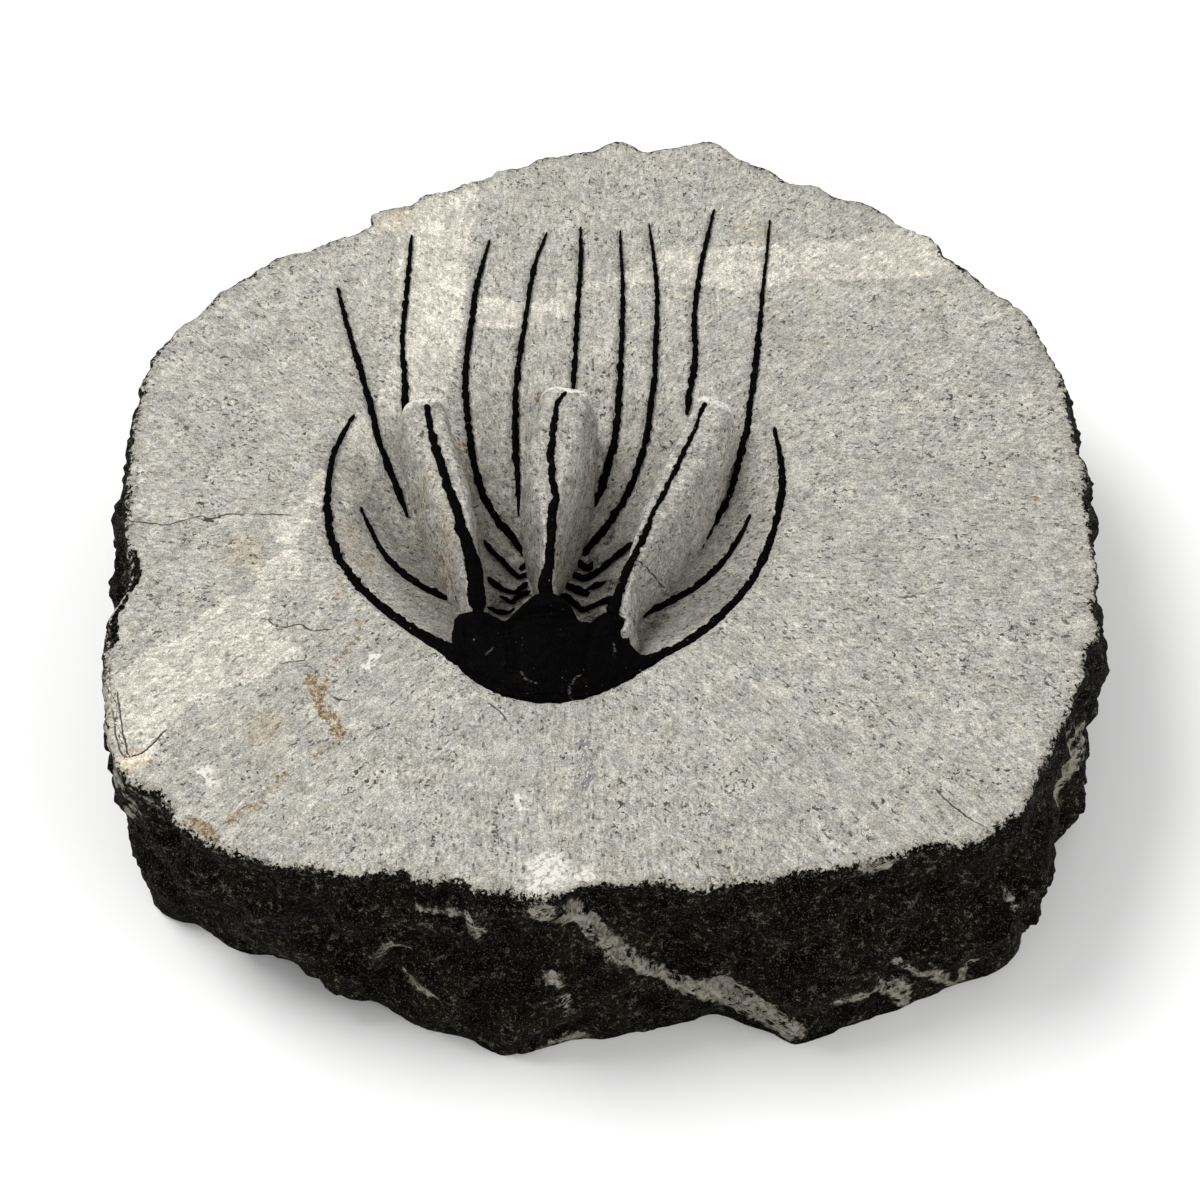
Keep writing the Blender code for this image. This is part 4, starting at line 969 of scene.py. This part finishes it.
def evenly(points, pitch=SPINE_PITCH):
    """The route read again at an even pitch along its plan length."""
    run = np.concatenate([[0], np.cumsum(np.hypot(*np.diff(points[:, :2], axis=0).T))])
    at = np.linspace(0, run[-1], max(12, round(run[-1] / pitch)))
    return np.column_stack([np.interp(at, run, column) for column in points.T])


def limb_of(plan, seed, sway=0.04):
    """Plan points and half widths of a limb: it wanders a little and closes over its last stretch."""
    line = evenly(curve(plan, 400))
    flat, radii = line[:, :2], line[:, 2]
    shift = sway * (waves(flat, 5.0, seed=seed + 5) + 0.5 * waves(flat, 1.6, seed=seed + 6))
    flat = flat + shift[:, None] * cross_section_lines(flat)[1]
    run = np.arange(len(line)) * SPINE_PITCH
    ends = np.minimum(run, run[-1] - run) + 0.02
    closing = np.sqrt(np.clip(ends / (1.6 * radii), 0, 1))
    worn = 1 + 0.10 * waves(flat, 2.6, seed=seed + 7)
    return flat, np.maximum(radii * closing * worn, TIP)


def build_laid_spine(name, limbs, seed, material, **shape):
    """A spine whose limbs lie on the bowl and the flat top."""
    laid = []
    for k, plan in enumerate(limbs):
        flat, radii = limb_of(plan, seed + 20 * k)
        laid.append((np.column_stack([flat, plain_height(flat[:, 0], flat[:, 1])]), radii))
    return build_spine(name, laid, seed, material, **shape)


def build_crest_spine(name, fin, plan, seed, material):
    """A spine along a fin's crest, from the head to the fin's far end."""
    flat, radii = limb_of(plan, seed, sway=0.07)
    route = curve(fin["route"], 300)
    height = np.interp(flat[:, 1], route[:, 1], along(fin["crest"], 300)) + 0.04
    return build_spine(name, [(np.column_stack([flat, height]), radii)], seed, material, crown=0.75, root=0.5)


def head_face(x, y, reach):
    """Upper face of the shield.

    A margin that rises behind the glabella, and a low dome; the glabella and two eye lobes
    raised as bells; furrows beside the glabella, before the occipital ring and inside the border.
    """
    hump_x, hump_wide, hump_rise = OCCIPITAL
    z = HEAD_EDGE + hump_rise * np.exp(-(((x - hump_x) / hump_wide) ** 2)) * smooth_step(y, -23.0, -19.6)
    z = z + HEAD_DOME * np.sqrt(np.clip(1 - reach**2, 0, 1))
    for cx, cy, half_x, half_y, rise in (GLABELLA, *EYES):
        z = z + rise * np.exp(-((x - cx) / half_x) ** 2 - ((y - cy) / half_y) ** 2)
    gx = GLABELLA[0]
    away = np.abs(x - gx)
    behind = y + 21.3 - 0.03 * (x - gx) ** 2
    z = z - 0.45 * np.exp(-((behind / 0.5) ** 2)) * (1 - smooth_step(away, 3.4, 4.8))
    beside = 4.2 + 0.8 * smooth_step(y, -29.0, -21.0)
    z = z - 0.32 * np.exp(-(((away - beside) / 0.45) ** 2)) * smooth_step(y, -29.6, -27.6)
    z = z - 0.20 * np.exp(-(((reach - 0.9) / 0.035) ** 2))
    grain = uneven(np.stack([x, y], -1), *SHIELD_GRAIN)
    return z + grain * smooth_step(1 - reach, 0, 0.06)


def build_head(material):
    """The head shield: rings from its margin to its middle, a side wall and a flat underside."""
    outline = head_outline(HEAD_POINTS)
    outward = outline / np.linalg.norm(outline, axis=1)[:, None]
    outline = outline + outward * uneven(outline, *SHIELD_CHIPS)[:, None]
    reach = np.linspace(1, 0, HEAD_RINGS + 1)[:-1][:, None]
    middle = np.asarray(HEAD_MIDDLE)
    flat = middle + outline * reach[..., None]
    high = head_face(flat[..., 0], flat[..., 1], np.broadcast_to(reach, flat.shape[:2]))
    face = np.concatenate([flat, high[..., None]], -1)
    down = np.array([0.66, 0.33, 0.0])[:, None]
    rim_z = face[0, :, 2]
    bulge = np.array([1.006, 1.004, 0.99])[:, None, None]
    wall_z = HEAD_UNDER + (rim_z - HEAD_UNDER) * down
    wall = np.concatenate([middle + outline * bulge, wall_z[..., None]], -1)
    under = np.concatenate([middle + outline * 0.5, np.full((HEAD_POINTS, 1), HEAD_UNDER)], -1)
    rings = np.concatenate([under[None], wall[::-1], face])
    table = np.arange(len(rings) * HEAD_POINTS).reshape(-1, HEAD_POINTS)
    peak = head_face(np.array([middle[0]]), np.array([middle[1]]), np.array([0.0]))[0]
    points = np.vstack([rings.reshape(-1, 3), [(*middle, HEAD_UNDER)], [(*middle, peak)]])
    below, above = fan(table[0, ::-1], table.size), fan(table[-1], table.size + 1)
    faces = [grid_faces(table, closed=True), below, above]
    scuff = nearest_of(points[:, 0], points[:, 1], SHIELD_SCUFFS, reach=2.0)
    marks = {"scuff": 1 - smooth_step(scuff, 0.03, 0.16)}
    return add_piece("head_shield_shell", points, faces, material, ["head_shield"], marks)


# --- materials --------------------------------------------------------------------------------
class Paint:
    """Short calls that lay out one material's nodes."""

    def __init__(self, name):
        self.material = bpy.data.materials.new(name)
        self.material.use_nodes = True
        self.tree = self.material.node_tree
        self.shader = self.tree.nodes["Principled BSDF"]
        scale = self.node("ShaderNodeVectorMath", operation="SCALE")
        self.feed(scale.inputs[0], self.node("ShaderNodeTexCoord").outputs["Object"])
        scale.inputs["Scale"].default_value = 1 / MM
        self.place = scale.outputs[0]

    def node(self, kind, **settings):
        node = self.tree.nodes.new(kind)
        for key, value in settings.items():
            setattr(node, key, value)
        return node

    def feed(self, socket, value):
        """Links an output to a socket, or sets a plain value on it."""
        if isinstance(value, bpy.types.NodeSocket):
            self.tree.links.new(value, socket)
        else:
            socket.default_value = value

    def finish(self, sockets):
        """Feeds the shader's sockets by their names, and gives the finished material."""
        for name, value in sockets.items():
            self.feed(self.shader.inputs[name], value)
        return self.material

    def noise(self, size, place=None, detail=2.0, rough=0.55, warp=0.0):
        """Noise whose cells are about `size` millimetres."""
        node = self.node("ShaderNodeTexNoise")
        self.feed(node.inputs["Vector"], place or self.place)
        settings = {"Scale": 1 / size, "Detail": detail, "Roughness": rough, "Distortion": warp}
        for key, value in settings.items():
            self.feed(node.inputs[key], value)
        return node.outputs["Fac"]

    def cells(self, size, place):
        """Distance to the nearest of scattered points, 0 at a point."""
        node = self.node("ShaderNodeTexVoronoi")
        self.feed(node.inputs["Vector"], place)
        self.feed(node.inputs["Scale"], 1 / size)
        return node.outputs["Distance"]

    def stretched(self, degrees, stretch):
        """The place turned by an angle, with patterns drawn out along its axes by the given factors."""
        node = self.node("ShaderNodeMapping", vector_type="TEXTURE")
        self.feed(node.inputs["Vector"], self.place)
        node.inputs["Rotation"].default_value = (0, 0, math.radians(degrees))
        node.inputs["Scale"].default_value = stretch
        return node.outputs[0]

    def mark(self, name):
        """A value stored on the mesh."""
        return self.node("ShaderNodeAttribute", attribute_name=name).outputs["Fac"]

    def step(self, value, low, high, bottom=0.0, top=1.0):
        """Smooth step from bottom to top as value goes from low to high."""
        node = self.node("ShaderNodeMapRange", interpolation_type="SMOOTHSTEP")
        for socket, number in zip(node.inputs[:5], (value, low, high, bottom, top)):
            self.feed(socket, number)
        return node.outputs[0]

    def vector(self, operation, a, b=None):
        """Vector maths; a dot product gives a number."""
        node = self.node("ShaderNodeVectorMath", operation=operation)
        self.feed(node.inputs[0], a)
        if b:
            node.inputs[1].default_value = b
        return node.outputs["Value" if operation == "DOT_PRODUCT" else "Vector"]

    def math(self, operation, *values):
        """Values joined one after the other by an operation."""
        joined = values[0]
        for value in values[1:] or (0.0,):
            node = self.node("ShaderNodeMath", operation=operation)
            self.feed(node.inputs[0], joined)
            self.feed(node.inputs[1], value)
            joined = node.outputs[0]
        return joined

    def times(self, *values):
        return self.math("MULTIPLY", *values)

    def plus(self, *values):
        return self.math("ADD", *values)

    def swing(self, noise, height):
        """A noise's swing about its middle value, drawn out to `height`."""
        return self.times(self.math("SUBTRACT", noise, 0.5), height)

    def mix(self, share, a, b, blend="MIX"):
        """Colours a and b mixed by share."""
        node = self.node("ShaderNodeMix", data_type="RGBA", blend_type=blend)
        self.feed(node.inputs[0], share)
        for socket, colour in ((node.inputs[6], a), (node.inputs[7], b)):
            self.feed(socket, (*colour, 1.0) if isinstance(colour, tuple) else colour)
        return node.outputs[2]

    def tinted(self, colour, tint):
        """A colour multiplied by another one or by a number."""
        return self.mix(1.0, colour, tint, "MULTIPLY")

    def shades(self, share, colour, low, high):
        """Darker and paler shades of one colour, `low` and `high` times as bright, mixed by share."""
        return self.mix(share, tuple(low * c for c in colour), tuple(high * c for c in colour))

    def bump(self, height, distance, below=None):
        """Bump of the given height in metres, over another one if given."""
        node = self.node("ShaderNodeBump")
        self.feed(node.inputs["Height"], height)
        self.feed(node.inputs["Distance"], distance)
        self.feed(node.inputs["Strength"], 1.0)
        if below:
            self.feed(node.inputs["Normal"], below)
        return node.outputs[0]


class StonePaint(Paint):
    """Paint with the noises and strokes that several finishes of the stone share."""

    def __init__(self, name):
        super().__init__(name)
        self.fine = self.noise(0.55, detail=4.0, rough=0.65)
        self.grain = self.noise(0.28)
        self.pepper = self.noise(0.19, rough=0.6)
        self.cloud = self.noise(3.0, detail=3.0)
        self.grit = self.noise(0.8, detail=5.0, rough=0.74)
        patchy = self.step(self.noise(2.2), 0.35, 0.65, 0.35, 1.0)
        dark, pale, self.flow = flecks(self)
        self.dark_stroke, self.pale_stroke = self.times(dark, patchy), self.times(pale, patchy)


def flecks(paint):
    """Short tool strokes that run away from the bowl: four sets of stretched noise, each shown
    where its direction lies along the line from the bowl's middle.  Gives the dark strokes,
    the pale ones and the swing about zero between them."""
    from_middle = paint.vector("SUBTRACT", paint.place, (*BOWL_CENTRE, SLAB_HEIGHT))
    aim = paint.vector("NORMALIZE", paint.vector("MULTIPLY", from_middle, (1, 1, 0)))
    dark, pale, flow = [], [], []
    for k, degrees in enumerate((0, 45, 90, 135)):
        turn = math.radians(degrees)
        along_it = paint.vector("DOT_PRODUCT", aim, (math.cos(turn), math.sin(turn), 0))
        weight = paint.step(paint.math("ABSOLUTE", along_it), 0.70, 0.93)
        grain = paint.noise(0.60 + 0.03 * k, paint.stretched(degrees, (3.0, 0.72, 1.2)), 3.0, 0.6)
        dash = paint.cells(0.6, paint.stretched(degrees, (2.6, 1.0, 1.6)))
        ragged_dash = paint.plus(dash, paint.swing(grain, 0.8))
        dark.append(paint.times(paint.step(ragged_dash, 0.15, 0.21, 1.0, 0.0), weight))
        pale.append(paint.times(paint.step(grain, 0.36, 0.41, 1.0, 0.0), weight))
        flow.append(paint.times(paint.math("SUBTRACT", grain, 0.5), weight))
    return paint.math("MAXIMUM", *dark), paint.math("MAXIMUM", *pale), paint.plus(*flow)


def prepared_rock(paint, prepared, calcite):
    """Mottled grey with bluish and beige patches, bands of calcite, tool strokes and dark grains."""
    top = paint.shades(paint.step(paint.fine, 0.32, 0.68), prepared, 0.82, 1.22)
    hue = paint.mix(paint.step(paint.noise(1.8, detail=4.0, rough=0.6), 0.40, 0.60), COOL_TINT, WARM_TINT)
    top = paint.tinted(top, hue)
    top = paint.mix(paint.step(paint.noise(9.0, detail=3.0), 0.35, 0.7, 0.0, 0.35), top, GREY_PATCH)
    top = paint.mix(paint.step(paint.cloud, 0.52, 0.72, 0.0, 0.35), top, BEIGE_PATCH)

    # Calcite is paler and cleaner, with ragged edges.
    ragged = paint.plus(paint.mark("calcite"), paint.swing(paint.fine, 2.0), paint.swing(paint.cloud, 1.6))
    band = paint.step(ragged, -0.15, 0.25, 0.0, 0.9)
    top = paint.mix(band, top, paint.shades(paint.step(paint.fine, 0.35, 0.65), calcite, 0.88, 1.14))
    cleaner = paint.step(band, 0.0, 0.75, 1.0, 0.62)

    for size, low, high in ((1.6, 0.80, 1.16), (4.5, 0.92, 1.07), (14.0, 0.94, 1.04)):
        mottle = paint.noise(size, detail=4.0, rough=0.68)
        top = paint.tinted(top, paint.step(mottle, 0.32, 0.68, low, high))
    top = paint.mix(paint.step(paint.grain, 0.60, 0.68, 0.0, 0.6), top, PALE_GRAIN)
    top = paint.mix(paint.times(paint.pale_stroke, 0.6), top, PALE_STROKE)
    top = paint.tinted(top, paint.step(paint.pepper, 0.34, 0.66, 0.70, 1.25))
    top = paint.tinted(top, paint.step(paint.flow, -0.13, 0.13, 0.82, 1.15))
    top = paint.mix(paint.times(paint.dark_stroke, paint.times(cleaner, 0.85)), top, DARK_STROKE)
    clumps = paint.step(paint.noise(5.0, detail=3.0), 0.40, 0.62, 0.2, 1.0)
    grains = paint.times(paint.step(paint.noise(0.62, detail=3.0, rough=0.6), 0.60, 0.63), clumps)
    return paint.mix(paint.times(grains, cleaner), top, DARK_GRAIN)


def stained(paint, top):
    """The prepared rock with its dark pits, painted shade on the bowl's floor and slopes, rust, pale powdery
    marks that also paint a highlight on the fins' far rims, slate-blue smear and cracks.
    """
    soot_and_shade = paint.mark("soot_and_shade")
    pits = paint.times(soot_and_shade, paint.step(paint.noise(0.85, detail=4.0, rough=0.7), 0.54, 0.59))
    # Where the spots are strong the bowl's floor darkens: painted shade.
    top = paint.tinted(top, paint.step(soot_and_shade, 0.55, 1.0, 1.0, 0.72))
    # Painted shade on the bowl's slopes inside the genal spines.
    top = paint.tinted(top, paint.step(paint.mark("shade"), 0.0, 1.0, 1.0, 0.63))
    top = paint.mix(pits, top, SOOT)

    tan = paint.times(paint.mark("tan"), paint.step(paint.cloud, 0.3, 0.65, 0.25, 1.0))
    top = paint.tinted(top, paint.mix(tan, (1.0, 1.0, 1.0), TAN_TINT))
    eaten = paint.noise(0.6, detail=4.0, rough=0.7)
    rust = paint.times(paint.mark("rust"), paint.step(eaten, 0.40, 0.56))
    rusty = paint.mix(paint.step(paint.fine, 0.40, 0.56), RUST_BROWN, RUST_OCHRE)
    rusty = paint.mix(paint.step(paint.grain, 0.40, 0.46, 0.85, 0.0), rusty, RUST_PIT)
    top = paint.mix(paint.step(rust, 0.10, 0.45, 0.0, 0.9), top, rusty)

    # Chalk is cream where it is rusty too.  On the fins' far rims the same pale mark is a painted highlight.
    chalk_and_highlight = paint.times(paint.mark("chalk_and_highlight"), paint.step(eaten, 0.36, 0.64))
    chalk_and_highlight_colour = paint.mix(paint.step(paint.mark("rust"), 0.2, 0.5), CHALK, CREAM)
    top = paint.mix(paint.step(chalk_and_highlight, 0.04, 0.65, 0.0, 0.95), top, chalk_and_highlight_colour)
    streaked = paint.noise(1.0, paint.stretched(70, (1.6, 0.6, 1.0)), detail=4.0, rough=0.7)
    slate = paint.times(paint.mark("slate"), paint.step(streaked, 0.47, 0.58))
    top = paint.mix(paint.step(slate, 0.1, 0.8, 0.0, 0.75), top, SLATE)
    top = paint.mix(paint.times(paint.mark("slate"), paint.step(streaked, 0.60, 0.66)), top, SLATE_FLECK)

    # Cracks wander a little, and break off where the cloudy noise is low.
    off_line = paint.plus(paint.mark("crack"), paint.swing(paint.noise(1.3), 0.55))
    crack = paint.times(paint.step(paint.math("ABSOLUTE", off_line), 0.05, 0.16, 1.0, 0.0),
                        paint.step(paint.mark("crack_gap"), 0.5, 0.8, 1.0, 0.0),
                        paint.step(paint.cloud, 0.36, 0.5, 0.45, 1.0))
    return paint.mix(crack, top, CRACK)


def broken_rock(paint, broken):
    """Black with a brown cast, small pale grains, painted glints, hair scratches and streaks of pale rock."""
    side = paint.shades(paint.step(paint.grit, 0.35, 0.75), broken, 0.3, 2.0)
    patches = paint.noise(5.0, detail=3.0)
    side = paint.mix(paint.step(patches, 0.46, 0.72, 0.0, 0.7), side, SIDE_BROWN)
    gritty = paint.times(paint.step(paint.noise(0.9, detail=5.0, rough=0.75), 0.54, 0.62),
                         paint.step(patches, 0.38, 0.60, 0.15, 1.0))
    side = paint.mix(gritty, side, SIDE_GRIT)
    # Painted glints: pale specks in the colour where the grit and the pepper noise meet.
    side = paint.mix(paint.times(gritty, paint.step(paint.pepper, 0.50, 0.58)), side, SIDE_GLINT)
    side = paint.mix(paint.step(paint.pepper, 0.60, 0.66, 0.0, 0.8), side, SIDE_PEPPER)
    hairs = []
    for size, degrees, stretch in ((3.6, 40, (2.2, 0.8, 1.2)), (2.8, -55, (0.8, 2.4, 1.1))):
        noise = paint.noise(size, paint.stretched(degrees, stretch), detail=3.0, warp=0.8)
        ridge = paint.math("ABSOLUTE", paint.math("SUBTRACT", noise, 0.5))
        hairs.append(paint.step(ridge, 0.003, 0.013, 1.0, 0.0))
    scratched = paint.step(paint.noise(2.6, detail=4.0), 0.58, 0.66, 0.0, 0.45)
    side = paint.mix(paint.times(paint.math("MAXIMUM", *hairs), scratched), side, SCRATCH)

    torn = paint.plus(paint.mark("pale_rock"), paint.swing(paint.noise(1.1, detail=5.0, rough=0.68), 3.4))
    pale = paint.mix(paint.step(paint.grit, 0.36, 0.60), STREAK_DARK, STREAK_PALE)
    pale = paint.mix(paint.step(torn, -0.2, 0.2, 0.6, 0.0), pale, STREAK_EDGE)
    bitten = paint.noise(1.7, paint.stretched(90, (1.0, 1.0, 0.6)), detail=5.0, rough=0.7)
    share = paint.times(paint.step(torn, -0.35, 0.15, 0.0, 0.95), paint.step(bitten, 0.41, 0.47))
    return paint.mix(share, side, pale)


def limestone_material():
    """Tooled grey limestone on top, near-black broken rock round the sides."""
    stone = bpy.context.scene.trilobite_stone
    paint = StonePaint("tooled_limestone")
    top = stained(paint, prepared_rock(paint, tuple(stone.prepared), tuple(stone.calcite)))
    side = broken_rock(paint, tuple(stone.broken))

    # The line between them runs raggedly along the rim, with a thin brown crust above it.
    ragged = paint.plus(paint.swing(paint.noise(1.2, detail=5.0, rough=0.75), 2.6),
                        paint.plus(paint.swing(paint.noise(0.5, detail=4.0, rough=0.7), 4.4),
                                   paint.swing(paint.noise(7.0), 1.4)))
    past = paint.plus(paint.mark("past_rim"), ragged)
    on_side = paint.step(past, 0.25, 0.65)
    crust = paint.times(paint.step(past, -0.9, 0.25), paint.step(paint.grain, 0.35, 0.6, 0.0, 0.55))
    top = paint.mix(crust, top, RIM_CRUST)

    # Relief: the top's grain stands up a little; the side is coarser.
    tooled = paint.plus(paint.times(paint.fine, 0.9), paint.times(paint.pepper, 0.6))
    relief = paint.node("ShaderNodeMix", data_type="VECTOR")
    paint.feed(relief.inputs[0], on_side)
    paint.feed(relief.inputs[4], paint.bump(tooled, 0.00018))
    paint.feed(relief.inputs[5], paint.bump(paint.grit, 0.001))
    dull = paint.plus(paint.step(on_side, 0.0, 1.0, 0.86, 0.62),
                      paint.step(paint.grit, 0.3, 0.7, -0.06, 0.06))
    return paint.finish({"Base Color": paint.mix(on_side, top, side), "Roughness": dull,
                         "Specular IOR Level": 0.02, "Normal": relief.outputs[1]})


def shell_material():
    """Near-black fossil shell with a dull sheen, a few pale grains and scuffs."""
    dark = tuple(bpy.context.scene.trilobite_shell.colour)
    paint = Paint("fossil_shell")
    grain = paint.noise(0.5, detail=4.0, rough=0.65)
    colour = paint.shades(paint.step(grain, 0.35, 0.7), dark, 0.5, 1.8)
    brown = paint.times(paint.step(paint.noise(2.4, detail=3.0), 0.58, 0.72),
                        paint.step(grain, 0.45, 0.62, 0.0, 0.6))
    colour = paint.mix(brown, colour, SHELL_BROWN)
    scuffed = paint.times(paint.mark("scuff"), paint.step(grain, 0.42, 0.56))
    colour = paint.mix(scuffed, colour, SHELL_SCUFF)
    speck = paint.times(paint.step(paint.noise(0.34, detail=3.0, rough=0.6), 0.68, 0.73),
                        paint.step(paint.noise(1.7), 0.54, 0.62))
    pitted = paint.bump(grain, 0.00016, below=paint.bump(paint.noise(0.22, detail=3.0), 0.00005))
    return paint.finish({"Base Color": paint.mix(speck, colour, SHELL_SPECK), "Normal": pitted,
                         "Roughness": paint.step(grain, 0.3, 0.7, 0.34, 0.55), "Specular IOR Level": 0.018})


def material(name, make):
    """The named material, made on first use."""
    return bpy.data.materials.get(name) or make()


# --- operators ----------------------------------------------------------------------------------
class TRILOBITE_OT_stone(bpy.types.Operator):
    """Build the limestone slab with its bowl and broken sides"""

    bl_idname = "trilobite.stone"
    bl_label = "Limestone Slab"

    def execute(self, context):
        build_stone(material("tooled_limestone", limestone_material))
        return {"FINISHED"}


class TRILOBITE_OT_fins(bpy.types.Operator):
    """Build the three fins of rock that carry the upright spines"""

    bl_idname = "trilobite.fins"
    bl_label = "Rock Fins"

    def execute(self, context):
        for name, fin in FINS.items():
            build_fin(name, fin, material("tooled_limestone", limestone_material))
        return {"FINISHED"}


class TRILOBITE_OT_head(bpy.types.Operator):
    """Build the head shield with its glabella and eye lobes"""

    bl_idname = "trilobite.head"
    bl_label = "Head Shield"

    def execute(self, context):
        build_head(material("fossil_shell", shell_material))
        return {"FINISHED"}


class TRILOBITE_OT_side_spines(bpy.types.Operator):
    """Build the pleural spines, the tail spine and the two genal spines"""

    bl_idname = "trilobite.side_spines"
    bl_label = "Side Spines"

    def execute(self, context):
        shell = material("fossil_shell", shell_material)
        for k, (name, plan) in enumerate(PLEURAL.items()):
            build_laid_spine(name, [plan], 100 + 10 * k, shell)
        for k, (name, plan) in enumerate(GENAL.items()):
            build_laid_spine(name, [plan], 300 + 10 * k, shell)
        return {"FINISHED"}


class TRILOBITE_OT_ribs(bpy.types.Operator):
    """Build the thorax ribs on the floor of the bowl"""

    bl_idname = "trilobite.ribs"
    bl_label = "Thorax Ribs"

    def execute(self, context):
        shell = material("fossil_shell", shell_material)
        for k, (name, limbs) in enumerate(RIBS.items()):
            build_laid_spine(name, limbs, 400 + 10 * k, shell)
        return {"FINISHED"}


class TRILOBITE_OT_crest_spines(bpy.types.Operator):
    """Build the occipital spine and the two eye spines along the fins' crests"""

    bl_idname = "trilobite.crest_spines"
    bl_label = "Crest Spines"

    def execute(self, context):
        shell = material("fossil_shell", shell_material)
        for k, (name, (fin, plan)) in enumerate(CREST_SPINES.items()):
            build_crest_spine(name, FINS[fin], plan, 500 + 10 * k, shell)
        return {"FINISHED"}


class TRILOBITE_OT_stage(bpy.types.Operator):
    """Lay the floor and set up the soft light and the camera"""

    bl_idname = "trilobite.stage"
    bl_label = "Stage"

    def execute(self, context):
        stage = context.scene.trilobite_stage
        add_floor(stage)
        add_lights(context.scene, stage)
        add_camera(context.scene, stage)
        return {"FINISHED"}


def add_floor(stage):
    """A wide flat sheet at the height of the slab's underside."""
    corners = [(x * FLOOR_HALF, y * FLOOR_HALF, 0) for x, y in ((-1, -1), (1, -1), (1, 1), (-1, 1))]
    mesh = bpy.data.meshes.new("floor")
    mesh.from_pydata(corners, [], [(0, 1, 2, 3)])
    floor = bpy.data.objects.new("floor", mesh)
    bpy.context.scene.collection.objects.link(floor)
    floor.location.z = cad_box[0][2] - FLOOR_GAP
    paint = Paint("pale_floor")
    colour = paint.shades(paint.noise(180.0), tuple(stage.floor), 0.985, 1.0)
    mesh.materials.append(paint.finish({"Base Color": colour, "Roughness": 0.9}))


def add_lights(scene, stage):
    """A big soft key high on the left, a weak fill on the right, and an even sky."""
    world = bpy.data.worlds.new("studio")
    world.use_nodes = True
    background = world.node_tree.nodes["Background"]
    background.inputs["Color"].default_value = (1.0, 1.0, 1.0, 1.0)
    background.inputs["Strength"].default_value = stage.sky
    scene.world = world
    scene.view_settings.view_transform = "Standard"
    for name, (place, size, share) in LIGHTS.items():
        light = bpy.data.lights.new(name, "AREA")
        light.shape = "DISK"
        light.size = size
        light.energy = stage.key_power * share
        lamp = bpy.data.objects.new(name, light)
        lamp.location = place
        lamp.rotation_euler = (Vector(place) - Vector(LIT_POINT)).to_track_quat("Z", "Y").to_euler()
        scene.collection.objects.link(lamp)


def add_camera(scene, stage):
    """The camera looks along +Y from above the head's end."""
    target = Vector(CAMERA_TARGET)
    back = Vector((0.0, -math.cos(stage.elevation), math.sin(stage.elevation)))
    data = bpy.data.cameras.new("camera")
    data.lens = stage.lens
    data.sensor_width = 36.0
    data.clip_start = 0.01
    camera = bpy.data.objects.new("camera", data)
    camera.location = target + back * stage.distance
    camera.rotation_euler = back.to_track_quat("Z", "Y").to_euler()
    scene.collection.objects.link(camera)
    scene.camera = camera


class TRILOBITE_PT_panel(bpy.types.Panel):
    """Buttons and settings for the fossil"""

    bl_label = "Trilobite Fossil"
    bl_idname = "TRILOBITE_PT_panel"
    bl_space_type = "VIEW_3D"
    bl_region_type = "UI"
    bl_category = "Trilobite"

    def draw(self, context):
        for name in SETTINGS:
            settings = getattr(context.scene, name)
            box = self.layout.box()
            for key in settings.__annotations__:
                box.prop(settings, key)
        for operator in OPERATORS:
            self.layout.operator(operator.bl_idname)


OPERATORS = (TRILOBITE_OT_stone, TRILOBITE_OT_fins, TRILOBITE_OT_head, TRILOBITE_OT_side_spines,
             TRILOBITE_OT_ribs, TRILOBITE_OT_crest_spines, TRILOBITE_OT_stage)
SETTINGS = {"trilobite_stone": StoneSettings, "trilobite_shell": ShellSettings,
            "trilobite_stage": StageSettings}


def register():
    for kind in (*SETTINGS.values(), *OPERATORS, TRILOBITE_PT_panel):
        bpy.utils.register_class(kind)
    for name, kind in SETTINGS.items():
        setattr(bpy.types.Scene, name, PointerProperty(type=kind))


def unregister():
    for name in SETTINGS:
        delattr(bpy.types.Scene, name)
    for kind in (TRILOBITE_PT_panel, *reversed(OPERATORS), *reversed(SETTINGS.values())):
        bpy.utils.unregister_class(kind)


def main():
    register()
    bpy.ops.trilobite.stone()
    bpy.ops.trilobite.fins()
    bpy.ops.trilobite.head()
    bpy.ops.trilobite.side_spines()
    bpy.ops.trilobite.ribs()
    bpy.ops.trilobite.crest_spines()
    bpy.ops.trilobite.stage()


if __name__ == "__main__":
    main()
